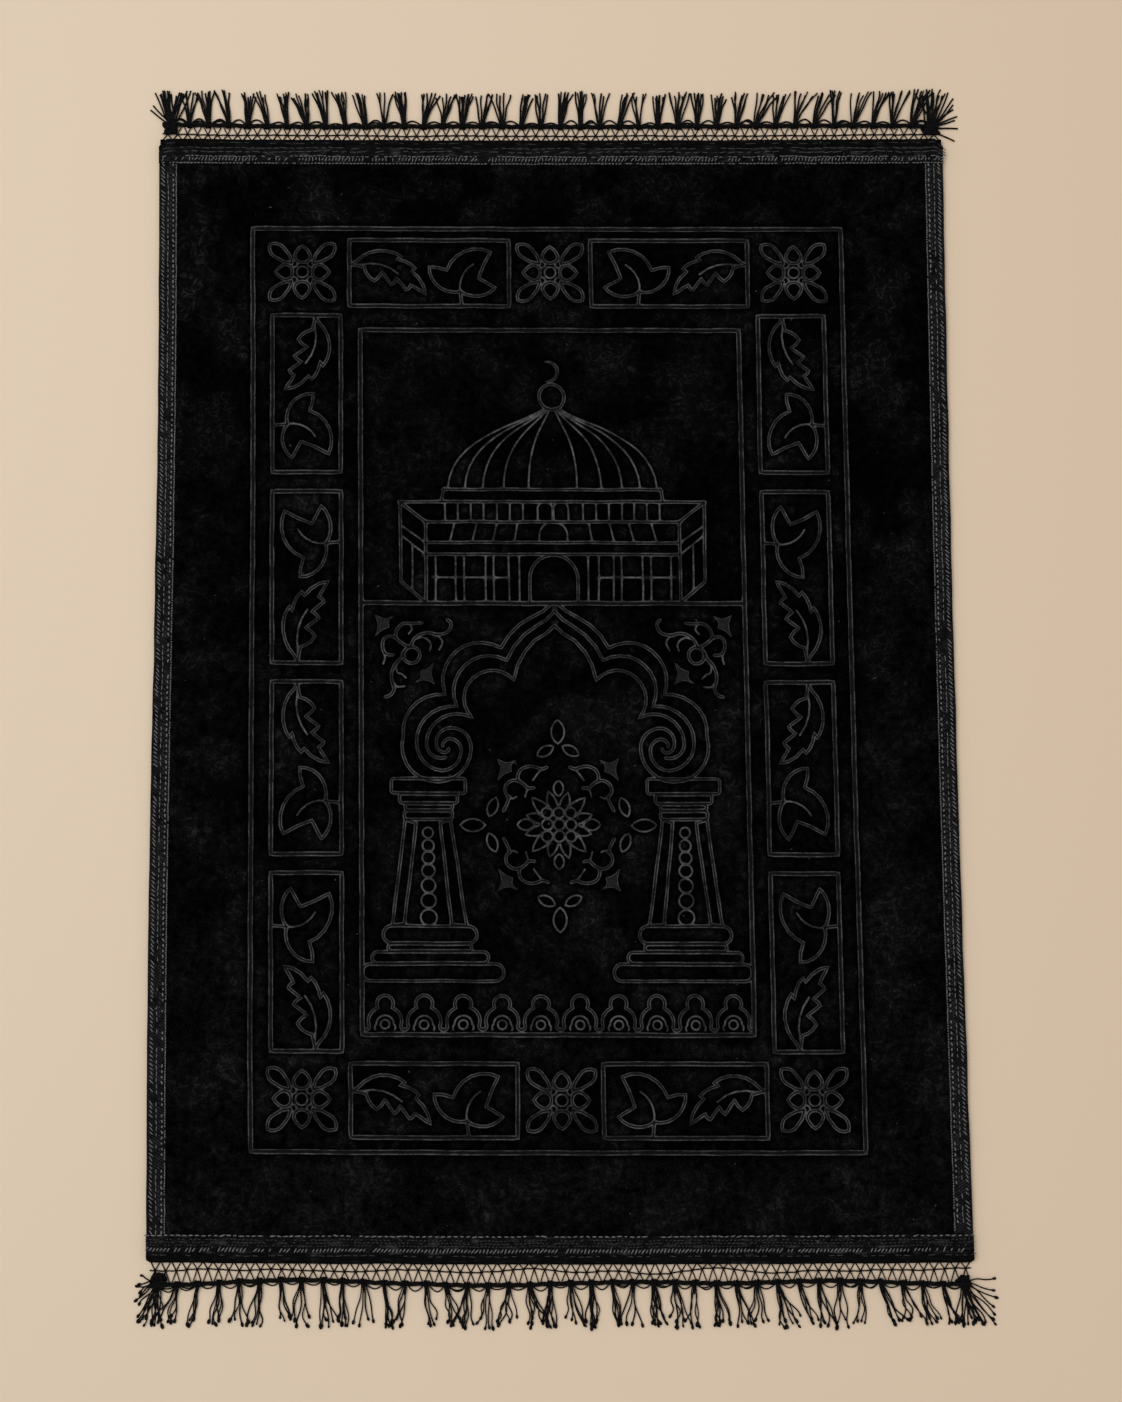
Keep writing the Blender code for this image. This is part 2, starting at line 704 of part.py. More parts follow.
def trim_outline(trim, tassel_roots, side_roots):
    """Outline of the trim's backing with a pair of points at each yarn root."""
    half_root = ROOT_WIDTH / 2
    outer = trim.net_depth + HEADER_WIDTH
    points = [(-TRIM_HALF_WIDTH, -TRIM_TUCK), (TRIM_HALF_WIDTH, -TRIM_TUCK)]
    right = sorted(t for s, t in side_roots if s > 0)
    for t in right:
        points += [(TRIM_HALF_WIDTH, t - half_root), (TRIM_HALF_WIDTH, t + half_root)]
    points.append((TRIM_HALF_WIDTH, outer))
    for s in sorted((s for s, _ in tassel_roots), reverse=True):
        points += [(s + half_root, outer), (s - half_root, outer)]
    points.append((-TRIM_HALF_WIDTH, outer))
    for t in sorted((t for s, t in side_roots if s < 0), reverse=True):
        points += [(-TRIM_HALF_WIDTH, t + half_root), (-TRIM_HALF_WIDTH, t - half_root)]
    return points


def header_points(trim):
    """Knots and the cord between them along the header: (s, t, height)."""
    middle = trim.net_depth + HEADER_WIDTH / 2
    corner = TRIM_HALF_WIDTH - CORNER_KNOT_INSET
    points = [(-corner, middle, CORNER_KNOT_Z)]
    for index in range(TASSELS):
        s = (index - (TASSELS - 1) / 2) * TASSEL_PITCH
        points.append((s, middle, (KNOT_Z, HEADER_Z)[index % 2]))
    points.append((corner, middle, CORNER_KNOT_Z))
    return points


def root_face(bm, place):
    """The small wall face whose middle stands nearest to a plan place."""
    def distance(face):
        centre = face.calc_center_median()
        return (centre.x - place[0]) ** 2 + (centre.y - place[1]) ** 2
    largest = 2 * ROOT_WIDTH * TRIM_THICKNESS
    walls = [face for face in bm.faces if abs(face.normal.z) < 0.5 and face.calc_area() < largest]
    return min(walls, key=distance)


def grow_yarn(bm, face, path):
    """Extrude a root face along a plan path; the yarn rests level and ends in a knot."""
    here = face.calc_center_median().xy
    for index, point in enumerate(path):
        point = Vector(point)
        way = (point - here).normalized()
        across = Vector((-way.y, way.x))
        width = YARN_WIDTH if index < len(path) - 1 else YARN_END_WIDTH
        middle = face.calc_center_median()
        face = bmesh.ops.extrude_discrete_faces(bm, faces=[face])["faces"][0]
        for vert in face.verts:
            side = math.copysign(width / 2, (vert.co - middle).xy.dot(across))
            z = YARN_HEIGHT if vert.co.z > middle.z else 0.0
            plan = point + across * side
            vert.co = Vector((plan.x, plan.y, z))
        here = point


def build_fringe(name, trim, material):
    """Fringe trim: tucked heading, open net, knotted header cord and tassel yarns."""
    rng = random.Random(SEED + trim.end)
    tassels = tassel_yarns(trim, rng)
    corners = corner_yarns(trim)
    raised = header_points(trim)

    plan = Plan()
    rim = plan.add(trim_outline(trim, [yarn.root for yarn in tassels], [yarn.root for yarn in corners]))
    gap_faces = [plan.add(gap) for gap in net_gaps(trim)]
    header_foot = [(side * (TRIM_HALF_WIDTH - 1.0), trim.net_depth) for side in (-1, 1)]
    plan.add(header_foot, closed=False)
    ridge = plan.add([(s, t) for s, t, _ in raised], closed=False)
    points, faces, sources = plan.triangles(faces=[rim] + gap_faces, kind=1)
    heights = {(round(s, 2), round(t, 2)): z for s, t, z in raised}

    bm = bmesh.new()
    verts = [bm.verts.new((p.x, p.y, 0.0)) for p in points]
    solid = [face for face, source in zip(faces, sources) if source == [0]]
    floor = [bm.faces.new([verts[index] for index in face]) for face in solid]
    bmesh.ops.delete(bm, geom=[vert for vert in verts if not vert.link_faces], context="VERTS")
    lifted = bmesh.ops.extrude_face_region(bm, geom=floor, use_keep_orig=True)["geom"]
    for vert in (item for item in lifted if isinstance(item, bmesh.types.BMVert)):
        key = (round(vert.co.x, 2), round(vert.co.y, 2))
        vert.co.z = heights.get(key, TRIM_THICKNESS)
    bmesh.ops.recalc_face_normals(bm, faces=bm.faces)

    roots = [(root_face(bm, yarn.root), yarn.path) for yarn in tassels + corners]
    for face, path in roots:
        grow_yarn(bm, face, path)
    for vert in bm.verts:
        vert.co.y = trim.end * (BODY_HALF_LENGTH + vert.co.y)
    return new_object(name, bm, material)


# ---------------------------------------------------------------- assembly


def make_material(name, colour, roughness):
    """Principled material of one cloth."""
    material = bpy.data.materials.new(name)
    material.use_nodes = True
    shader = material.node_tree.nodes["Principled BSDF"]
    shader.inputs["Base Color"].default_value = (*colour, 1.0)
    shader.inputs["Roughness"].default_value = roughness
    shader.inputs["Metallic"].default_value = 0.0
    material.diffuse_color = (*colour, 1.0)
    return material


def stand_on_origin(parts):
    """Parent the parts to an empty that puts the middle of their plan on the origin."""
    corners = [vert.co for part in parts for vert in part.data.vertices]
    low = Vector([min(corner[axis] for corner in corners) for axis in range(3)])
    high = Vector([max(corner[axis] for corner in corners) for axis in range(3)])
    origin = bpy.data.objects.new("rug_origin", None)
    origin.location = Vector((-(low.x + high.x) / 2, -(low.y + high.y) / 2, -low.z))
    bpy.data.collections[COLLECTION_NAME].objects.link(origin)
    for part in parts:
        part.parent = origin


def main():
    """Clear the scene and build the rug's seven pieces."""
    for old in list(bpy.data.objects):
        bpy.data.objects.remove(old)
    collection = bpy.data.collections.new(COLLECTION_NAME)
    bpy.context.scene.collection.children.link(collection)

    velvet = make_material("velvet", (0.006, 0.006, 0.0065), 0.95)
    side_tape = make_material("side_tape", (0.022, 0.022, 0.024), 0.85)
    end_tape = make_material("end_tape", (0.020, 0.020, 0.022), 0.85)
    yarn = make_material("fringe_yarn", (0.012, 0.012, 0.013), 0.8)

    parts = [
        build_velvet_mat(velvet),
        build_side_tape("side_binding_left", -1, side_tape),
        build_side_tape("side_binding_right", +1, side_tape),
        build_end_tape("end_binding_head", +1, end_tape),
        build_end_tape("end_binding_foot", -1, end_tape),
        build_fringe("fringe_head", HEAD_TRIM, yarn),
        build_fringe("fringe_foot", FOOT_TRIM, yarn),
    ]
    stand_on_origin(parts)
    bpy.context.view_layer.update()


main()
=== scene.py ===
"""Prayer rug, dressed: pressed velvet mat, twill binding tapes, netted trims and knotted tassels.

Plan sizes are millimetres on the flat rug, measured from the middle of its velvet body with the
head towards +y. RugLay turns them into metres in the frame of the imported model.
"""

import logging
import math
import random
from collections.abc import Sequence
from dataclasses import dataclass
from enum import Enum

import bmesh
import bpy
import numpy as np
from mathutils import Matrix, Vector, noise
from mathutils.geometry import delaunay_2d_cdt


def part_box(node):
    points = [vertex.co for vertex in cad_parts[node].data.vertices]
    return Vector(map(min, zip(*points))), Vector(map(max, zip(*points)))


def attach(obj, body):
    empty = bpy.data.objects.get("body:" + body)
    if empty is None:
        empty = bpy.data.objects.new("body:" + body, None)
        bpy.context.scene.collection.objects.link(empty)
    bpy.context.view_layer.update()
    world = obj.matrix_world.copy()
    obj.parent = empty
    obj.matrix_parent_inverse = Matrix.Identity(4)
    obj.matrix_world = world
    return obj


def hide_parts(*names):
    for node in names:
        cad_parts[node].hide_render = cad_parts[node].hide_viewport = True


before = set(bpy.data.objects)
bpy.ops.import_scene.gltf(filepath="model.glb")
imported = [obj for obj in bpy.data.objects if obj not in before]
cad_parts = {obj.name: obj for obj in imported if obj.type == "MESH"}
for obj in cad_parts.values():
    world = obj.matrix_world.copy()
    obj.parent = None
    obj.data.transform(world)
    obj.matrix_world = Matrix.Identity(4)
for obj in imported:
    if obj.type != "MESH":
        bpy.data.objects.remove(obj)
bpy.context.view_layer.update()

LOG = logging.getLogger("prayer_rug")
MM = 0.001
BODY = "root"
PlanPoint = tuple[float, float]


class Slot(Enum):
    """The record's material slots."""

    VELVET = "velvet"
    SIDE_TAPE = "side_tape"
    END_TAPE = "end_tape"
    YARN = "fringe_yarn"


class End(Enum):
    """The two ends of the rug, as the sign of y."""

    HEAD = 1
    FOOT = -1


class Side(Enum):
    """The two long sides, as the sign of x."""

    LEFT = -1
    RIGHT = 1


# ---- how the rug lies


@dataclass(frozen=True)
class RugLay:
    """How the flat rug comes to lie in the frame: a slight lean, bowed ends and swaying edges."""

    half_width: float = 400.0
    half_length: float = 561.0
    lean: float = -0.0087
    end_bow: float = 2.0
    right_bow: float = 3.0
    left_sway: float = 1.8
    shift: tuple[float, float] = (0.0, 0.0)

    def bend(self, x: np.ndarray, y: np.ndarray) -> tuple[np.ndarray, np.ndarray]:
        """Lay plan coordinates as the cloth lies.

        Args:
            x: Flat x in mm.
            y: Flat y in mm.

        Returns:
            The moved x and y in mm, before the shift to the frame.
        """
        along = np.clip(y / self.half_length, -1.0, 1.0)
        across = x / self.half_width
        right = np.clip(across, 0.0, 1.3) ** 3
        left = np.clip(-across, 0.0, 1.3) ** 3
        moved_x = x + self.lean * y
        moved_x = moved_x - self.right_bow * right * np.cos(np.pi * along / 2)
        moved_x = moved_x + self.left_sway * left * np.sin(np.pi * along)
        moved_y = y - self.end_bow * np.maximum(0.0, 1.0 - across**2) * np.abs(along) ** 3
        return moved_x, moved_y

    def place(self, points: np.ndarray) -> np.ndarray:
        """Turn flat points (x, y, z) in mm into metres in the frame.

        Args:
            points: Array of shape (n, 3).

        Returns:
            Array of shape (n, 3).
        """
        x, y = self.bend(points[:, 0], points[:, 1])
        placed = np.column_stack((x + self.shift[0], y + self.shift[1], points[:, 2]))
        return placed * MM

    @classmethod
    def from_frame(cls) -> "RugLay":
        """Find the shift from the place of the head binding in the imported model.

        Returns:
            The lay with its shift set.
        """
        flat = cls()
        low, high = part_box("end_binding_head")
        corner_x, corner_y = flat.bend(np.array([-flat.half_width]), np.array([flat.half_length]))
        return cls(shift=(low.x / MM - float(corner_x[0]), high.y / MM - float(corner_y[0])))


def ripple(x: float, y: float, size: float, seed: float) -> float:
    """Smooth noise from -1 to 1.

    Args:
        x: First coordinate in mm.
        y: Second coordinate in mm.
        size: Size of a ripple in mm.
        seed: Number that sets one ripple apart from another.

    Returns:
        The value at that place.
    """
    return noise.noise(Vector((x / size, y / size, seed)))


def linked(name: str, data: bpy.types.ID) -> bpy.types.Object:
    """Put a mesh, light or camera into the scene.

    Args:
        name: The object's name.
        data: What it shows.

    Returns:
        The object.
    """
    made = bpy.data.objects.new(name, data)
    bpy.context.scene.collection.objects.link(made)
    return made


# ---- drawing on the flat


@dataclass(frozen=True)
class Press:
    """Width and depth of a pressed line in mm."""

    half_width: float
    depth: float


BOLD = Press(1.95, 1.5)
PLAIN = Press(1.8, 1.35)
FINE = Press(1.2, 1.2)
HAIR = Press(0.42, 1.0)


@dataclass(frozen=True)
class Stroke:
    """A pressed line along a polyline, or a pressed patch that the closed line bounds."""

    points: list[PlanPoint]
    closed: bool
    press: Press
    filled: bool = False

    def moved(self, dx: float, dy: float) -> "Stroke":
        """The stroke moved by (dx, dy)."""
        return Stroke([(x + dx, y + dy) for x, y in self.points], self.closed, self.press, self.filled)

    def mirrored(self) -> "Stroke":
        """The stroke mirrored across the rug's long middle line."""
        return Stroke([(-x, y) for x, y in self.points], self.closed, self.press, self.filled)

    def turned(self, degrees: float) -> "Stroke":
        """The stroke turned about (0, 0).

        Args:
            degrees: Turn anticlockwise.

        Returns:
            The turned stroke.
        """
        c, s = math.cos(math.radians(degrees)), math.sin(math.radians(degrees))
        points = [(x * c - y * s, x * s + y * c) for x, y in self.points]
        return Stroke(points, self.closed, self.press, self.filled)

    def scaled(self, sx: float, sy: float) -> "Stroke":
        """The stroke scaled along x and y."""
        return Stroke([(x * sx, y * sy) for x, y in self.points], self.closed, self.press, self.filled)


Corner = tuple[float, float, float]
ARC_STEP = math.radians(15.0)
FLOW_STEPS = 5


def arc_points(start: PlanPoint, end: PlanPoint, bulge: float) -> list[PlanPoint]:
    """Points of an arc from start up to but without end.

    Args:
        start: First point.
        end: Last point.
        bulge: Sagitta to the left of the way, in mm.

    Returns:
        The points; only the start for a straight edge.
    """
    chord = math.dist(start, end)
    if abs(bulge) < 1e-6:
        return [start]
    radius = (chord * chord / 4 + bulge * bulge) / (2 * abs(bulge))
    half_turn = 2 * math.atan2(2 * abs(bulge), chord)
    steps = max(2, round(2 * half_turn / ARC_STEP))
    side = math.copysign(1.0, bulge)
    ux, uy = (end[0] - start[0]) / chord, (end[1] - start[1]) / chord
    nx, ny = -uy * side, ux * side
    depth = radius - abs(bulge)
    cx = (start[0] + end[0]) / 2 - nx * depth
    cy = (start[1] + end[1]) / 2 - ny * depth
    points = []
    for step in range(steps):
        angle = half_turn * (2 * step / steps - 1)
        along, out = radius * math.sin(angle), radius * math.cos(angle)
        points.append((cx + ux * along + nx * out, cy + uy * along + ny * out))
    return points


def bulged(corners: Sequence[Corner], press: Press, closed: bool = True, filled: bool = False) -> Stroke:
    """A stroke through corners (x, y, bulge), whose bulge swells the edge that follows.

    Args:
        corners: The corners in order.
        press: Width and depth of the line.
        closed: Whether the last corner joins the first.
        filled: Whether the inside is pressed too.

    Returns:
        The stroke.
    """
    points = []
    count = len(corners) if closed else len(corners) - 1
    for index in range(count):
        here, after = corners[index], corners[(index + 1) % len(corners)]
        points += arc_points(here[:2], after[:2], here[2])
    if not closed:
        points.append(corners[-1][:2])
    return Stroke(points, closed, press, filled)


def flowing(points: Sequence[PlanPoint], press: Press) -> Stroke:
    """A smooth open stroke through its points.

    Args:
        points: The points that the line passes.
        press: Width and depth of the line.

    Returns:
        The stroke.
    """
    last = len(points) - 1
    out: list[PlanPoint] = []
    for index in range(last):
        p0, p1, p2, p3 = (points[min(last, max(0, index + k))] for k in (-1, 0, 1, 2))
        for step in range(FLOW_STEPS):
            t = step / FLOW_STEPS
            out.append(tuple(
                0.5 * (2 * p1[a] + (p2[a] - p0[a]) * t + (2 * p0[a] - 5 * p1[a] + 4 * p2[a] - p3[a]) * t * t
                       + (3 * p1[a] - p0[a] - 3 * p2[a] + p3[a]) * t**3)
                for a in (0, 1)
            ))
    out.append(tuple(points[-1]))
    return Stroke(out, False, press)


def line(points: Sequence[PlanPoint], press: Press) -> Stroke:
    """A stroke straight from point to point."""
    return Stroke([tuple(point) for point in points], False, press)


def box(x0: float, y0: float, x1: float, y1: float, press: Press) -> Stroke:
    """A rectangular stroke."""
    return Stroke([(x0, y0), (x1, y0), (x1, y1), (x0, y1)], True, press)


def circle(cx: float, cy: float, radius: float, press: Press) -> Stroke:
    """A round stroke.

    Args:
        cx: The middle's x in mm.
        cy: The middle's y in mm.
        radius: Radius in mm.
        press: Width and depth of the line.

    Returns:
        The stroke.
    """
    sides = max(10, round(radius * 1.6) + 6)
    turn = 2 * math.pi / sides
    points = [(cx + radius * math.cos(k * turn), cy + radius * math.sin(k * turn)) for k in range(sides)]
    return Stroke(points, True, press)


def almond(cx: float, cy: float, length: float, width: float, degrees: float, press: Press) -> Stroke:
    """A pointed oval stroke with its long axis at an angle.

    Args:
        cx: The middle's x in mm.
        cy: The middle's y in mm.
        length: Length in mm.
        width: Width in mm.
        degrees: Turn of its long axis.
        press: Width and depth of the line.

    Returns:
        The stroke.
    """
    half = length / 2
    drawn = bulged(((-half, 0, -width / 2), (half, 0, -width / 2)), press)
    return drawn.turned(degrees).moved(cx, cy)


def rounded_bar(near: float, far: float, top: float, bottom: float, corner: float, press: Press) -> Stroke:
    """A moulding seen from the front: a bar with round corners.

    Args:
        near: Reach of its near end, in mm.
        far: Reach of its far end, in mm.
        top: Its upper edge, in mm.
        bottom: Its lower edge, in mm.
        corner: Radius of its corners at most, in mm.
        press: Width and depth of the line.

    Returns:
        The stroke.
    """
    r = min(corner, (top - bottom) / 2 - 0.1)
    bow = r * (1 - math.sqrt(0.5))
    return bulged((
        (near + r, bottom, 0), (far - r, bottom, -bow), (far, bottom + r, 0), (far, top - r, -bow),
        (far - r, top, 0), (near + r, top, -bow), (near, top - r, 0), (near, bottom + r, -bow),
    ), press)


def both(strokes: Sequence[Stroke]) -> list[Stroke]:
    """The strokes and their mirror images across the rug's long middle line."""
    return [*strokes, *(stroke.mirrored() for stroke in strokes)]


# ---- the pressed pattern


@dataclass(frozen=True)
class PanelPlace:
    """Where a border panel lies: middle, size, turn in degrees, and whether it is flipped."""

    x: float
    y: float
    length: float
    width: float
    turn: float
    flip: bool


@dataclass(frozen=True)
class Bar:
    """A moulding or pane of the building and the columns, as reaches from the middle line."""

    near: float
    far: float
    top: float
    bottom: float


@dataclass
class BorderPattern:
    """Frames, leaf panels and flowers round the field."""

    outer: Bar = Bar(-300.8, 300.8, 467.2, -457.0)
    inner: Bar = Bar(-192.4, 192.4, 361.3, -344.4)
    ground: float = 81.6
    panel_length: float = 162.0
    panel_width: float = 69.5
    petal_lean: float = 3.5
    left_panels: tuple[PanelPlace, ...] = (
        PanelPlace(-122.2, 420.8, 161.5, 69.0, 0, False),
        PanelPlace(-122.8, -407.5, 162.0, 71.0, 0, False),
        PanelPlace(-246.6, 295.4, 161.6, 69.0, -90, False),
        PanelPlace(-246.6, 108.1, 173.8, 69.0, 90, False),
        PanelPlace(-246.6, -83.0, 171.0, 69.0, -90, True),
        PanelPlace(-246.6, -273.8, 173.6, 69.0, 90, True),
    )
    flowers: tuple[PlanPoint, ...] = (
        (-250.7, 421.5), (0, 421.5), (250.7, 421.5), (-251, -406.5), (1, -407), (251, -406.5),
    )

    def frames(self) -> list[Stroke]:
        """The two plain frames and the ground line."""
        strokes = [box(f.near, f.bottom, f.far, f.top, BOLD) for f in (self.outer, self.inner)]
        return [*strokes, line([(self.inner.near, self.ground), (self.inner.far, self.ground)], BOLD)]

    def serrated_leaf(self) -> list[Stroke]:
        """A leaf with two notches in its back, four teeth and a midrib.

        Returns:
            Its strokes.
        """
        edge = bulged((
            (-79, 9, 0), (-74, 12, 9), (-28, 17, 0), (-33, 14, 2), (-14, 5, 0), (-18, 2, 3), (-4, -22, 0),
            (-19, -12, 1), (-24, -17.5, 0), (-33, -5, 1), (-39, -12.5, 0), (-48, 1, 1), (-56, -8.5, 2),
            (-66, 6, 0),
        ), FINE)
        midrib = bulged(((-70, 8.5, 5), (-31, -1, 0)), HAIR, closed=False)
        return [edge, midrib]

    def lobed_leaf(self) -> list[Stroke]:
        """A leaf of three lobes on a stem, with a vein in the middle one.

        Returns:
            Its strokes.
        """
        edge = bulged((
            (31.5, -19.5, -7), (67, -15, 0), (50, -5.5, 1), (62.5, 22.5, -11), (18, 3, -1), (0, 6.5, -10),
        ), FINE)
        stem = line([(31.5, -19.5), (33, -34.75)], FINE)
        vein = bulged(((31.5, -19.5, 5), (45, 9, 0)), HAIR, closed=False)
        return [edge, stem, vein]

    def panel(self, place: PanelPlace) -> list[Stroke]:
        """One leaf panel.

        Args:
            place: Where it lies.

        Returns:
            Its strokes.
        """
        half_length, half_width = self.panel_length / 2, self.panel_width / 2
        drawn = [box(-half_length, -half_width, half_length, half_width, PLAIN)]
        drawn += self.serrated_leaf() + self.lobed_leaf()
        strokes = []
        for stroke in drawn:
            stroke = stroke.scaled(place.length / self.panel_length, place.width / self.panel_width)
            stroke = stroke.turned(place.turn)
            if place.flip:
                stroke = stroke.mirrored()
            strokes.append(stroke.moved(place.x, place.y))
        return strokes

    def flower(self) -> list[Stroke]:
        """A flower of four diagonal petals round four lobes, an eye and four dots.

        Returns:
            Its strokes.
        """
        strokes = [circle(0, 0, 5.8, HAIR)]
        petal = bulged(((14, 0, -1.4), (30, -6.4, -2.8), (43.8, 0, -2.8), (30, 6.4, -1.4)), FINE)
        lobe = bulged(((10, 0, -2.4), (17.5, -8.0, -1.2), (27.3, 0, -1.2), (17.5, 8.0, -2.4)), FINE)
        for quarter in range(4):
            lean = self.petal_lean * (1 if quarter % 2 else -1)
            strokes.append(petal.turned(90 * quarter + 45 + lean))
            strokes.append(lobe.turned(90 * quarter))
            strokes.append(circle(8.6, 8.6, 3.6, HAIR).turned(90 * quarter))
        return strokes

    def strokes(self) -> list[Stroke]:
        """Every stroke of the border.

        Returns:
            The strokes in place.
        """
        found = self.frames()
        for place in self.left_panels:
            found += both(self.panel(place))
        for cx, cy in self.flowers:
            found += [stroke.moved(cx, cy) for stroke in self.flower()]
        return found


@dataclass
class DomedBuilding:
    """A domed hall of prayer on the ground line, drawn from its middle outwards."""

    ground: float = 81.6
    dome_foot: float = 197.0
    dome_top: float = 280.0
    dome_ribs: tuple[float, ...] = (24.5, 49.2, 70.2, 88.3, 105.5)
    ball: tuple[float, float] = (292.0, 13.0)
    crescent: tuple[float, float] = (318.0, 10.5)
    levels: tuple[tuple[float, float], ...] = (
        (197, 109.5), (184.5, 153), (164, 127.5), (143, 127.5), (131, 127.5),
    )
    arcade: tuple[float, ...] = (30, 43, 56, 69.5, 82, 95, 108)
    arcade_rows: tuple[float, float] = (184.5, 164.0)
    gallery: tuple[tuple[float, float], ...] = ((35.5, 39), (56, 61), (76, 81.5), (98.5, 104))
    gallery_rows: tuple[float, float] = (164.0, 143.0)
    wing_edges: tuple[tuple[PlanPoint, ...], ...] = (
        ((109.5, 197), (111.5, 184.5)), ((127.5, 164), (127.5, 81.6)),
        ((153, 184.5), (152.5, 103.5), (127.5, 82.5)), ((153, 184.5), (127.5, 164)),
    )
    wing_lines: tuple[tuple[PlanPoint, ...], ...] = (
        ((152, 160), (128, 143)), ((152, 150), (128, 131)), ((141, 140), (141, 93.5)),
    )
    piers: tuple[float, ...] = (34.5, 45, 60, 68, 89.5, 98, 118)
    panes: tuple[tuple[float, float], ...] = ((45, 60), (68, 89.5), (98, 118))
    pane_bar: float = 107.5
    door: tuple[float, float, float] = (24.0, 104.0, 26.5)

    def rib(self, foot: float) -> Stroke:
        """One rib of the ogee dome, from its foot to the top.

        Args:
            foot: How far out its foot stands, in mm.

        Returns:
            The stroke.
        """
        reach = foot / self.dome_ribs[-1]
        corners = (
            (foot, self.dome_foot), (0.96 * foot, 250.0), (45 * reach, 258.0), (1 + 6 * reach, self.dome_top),
        )
        steps = 12
        points = []
        for step in range(steps + 1):
            t = step / steps
            weights = ((1 - t) ** 3, 3 * t * (1 - t) ** 2, 3 * t * t * (1 - t), t**3)
            points.append(tuple(sum(w * c[a] for w, c in zip(weights, corners)) for a in (0, 1)))
        return Stroke(points, False, HAIR)

    def crown(self) -> list[Stroke]:
        """Ball and crescent on top of the dome.

        Returns:
            Its strokes.
        """
        y, r = self.crescent
        moon = bulged(((-6.5, y + r, 1.24 * r), (-5.5, y - r, -1.08 * r)), HAIR, filled=True)
        stalk = line([(0, y - 0.95 * r), (0, self.ball[0] + self.ball[1])], HAIR)
        return [circle(0, self.ball[0], self.ball[1], FINE), stalk, moon]

    def arches(self) -> list[Stroke]:
        """The small arcade, the gallery below it and the arched cells in their middle.

        Returns:
            Its strokes.
        """
        top, foot = self.arcade_rows
        strokes = both([line([(x, top), (x, foot)], HAIR) for x in self.arcade])
        cell = bulged(((0.5, foot, 0), (0.5, top - 7, 7.2), (15.5, top - 7, 0), (15.5, foot, 0)), HAIR, False)
        strokes += both([cell])
        top, foot = self.gallery_rows
        strokes += both([line([(x_top, top), (x_foot, foot)], HAIR) for x_top, x_foot in self.gallery])
        arch = ((-14.5, foot, 0), (-14, top - 11, 11), (14, top - 11, 0), (14.5, foot, 0))
        return [*strokes, bulged(arch, HAIR, False)]

    def walls(self) -> list[Stroke]:
        """Storeys, wings and the piers of the ground floor with their panes.

        Returns:
            Its strokes.
        """
        strokes = [line([(-reach, level), (reach, level)], FINE) for level, reach in self.levels]
        outer = [line(corners, FINE) for corners in self.wing_edges]
        outer += [line(corners, HAIR) for corners in self.wing_lines]
        outer += [line([(x, 131), (x, self.ground)], HAIR) for x in self.piers]
        outer += [line([(near, self.pane_bar), (far, self.pane_bar)], HAIR) for near, far in self.panes]
        half, spring, rise = self.door
        door = ((-half, self.ground, 0), (-half, spring, rise), (half, spring, 0), (half, self.ground, 0))
        return [*strokes, *both(outer), bulged(door, FINE, False)]

    def strokes(self) -> list[Stroke]:
        """Every stroke of the building."""
        ribs = both([self.rib(foot) for foot in self.dome_ribs])
        return [*self.crown(), *ribs, *self.arches(), *self.walls()]


@dataclass
class NicheArch:
    """The lobed arch with its scrolls, and the two columns that carry it; right half."""

    outer: tuple[Corner, ...] = (
        (3, 81.6, -1.5), (22, 68, 4), (53.5, 36.5, 26), (109, -10, 14.5), (151, -52, 14.5), (117, -97, 9.5),
        (84, -64, 6), (104, -43.5, 5), (118, -60, 2), (111, -68, 1.5), (106, -64, 0),
    )
    middle: tuple[Corner, ...] = (
        (0, 74, -1.5), (17.5, 59, 4), (48, 24, 25), (97.2, -22, 12.5), (138, -58, 7.5), (113, -86, 5),
        (94, -68, 3.6), (104, -54.5, 2.5), (112, -62, 0),
    )
    inner: tuple[Corner, ...] = (
        (0, 59, -1.5), (20, 44, 4), (41, 4, 29), (82.8, -33.5, 14.5), (128, -58, 6.5), (109, -73, 0),
    )
    capital: tuple[Bar, ...] = (
        Bar(90, 163, -93.5, -109), Bar(98, 155, -109, -118.8), Bar(103, 149.5, -118.8, -125.6),
        Bar(103, 150.3, -125.6, -134.6),
    )
    footing: tuple[Bar, ...] = (
        Bar(80.4, 171.6, -238.5, -256), Bar(85.4, 166.7, -256, -263.7), Bar(68.8, 182.4, -263.7, -275.5),
        Bar(54.3, 192.4, -275.5, -292.8),
    )
    capital_corner: float = 3.0
    footing_corners: tuple[float, ...] = (8.0, 3.4, 5.2, 8.0)
    moulding_gap: float = 0.4
    flutes: tuple[tuple[PlanPoint, ...], ...] = (
        ((149.3, -134.6), (162.6, -238.5), (150.9, -237), (138.5, -138)),
        ((104.9, -134.6), (90, -238.5), (104.7, -237.4), (114.8, -137.5)),
    )
    bead_axis: float = 127.0
    beads: tuple[tuple[float, float], ...] = (
        (-147.3, 5.2), (-160.1, 5.8), (-171.9, 6.1), (-184.7, 6.4), (-199.3, 6.9), (-214, 7.2), (-230.6, 7.8),
    )

    def strokes(self) -> list[Stroke]:
        """Every stroke of the arch and columns.

        Returns:
            The strokes in place.
        """
        right = [bulged(corners, FINE, closed=False) for corners in (self.outer, self.middle, self.inner)]
        corners = (*[self.capital_corner] * len(self.capital), *self.footing_corners)
        for corner, bar in zip(corners, (*self.capital, *self.footing)):
            top, bottom = bar.top - self.moulding_gap, bar.bottom + self.moulding_gap
            right.append(rounded_bar(bar.near, bar.far, top, bottom, corner, FINE))
        right += [Stroke(list(flute), True, FINE) for flute in self.flutes]
        right += [circle(self.bead_axis, y, radius, HAIR) for y, radius in self.beads]
        return both(right)


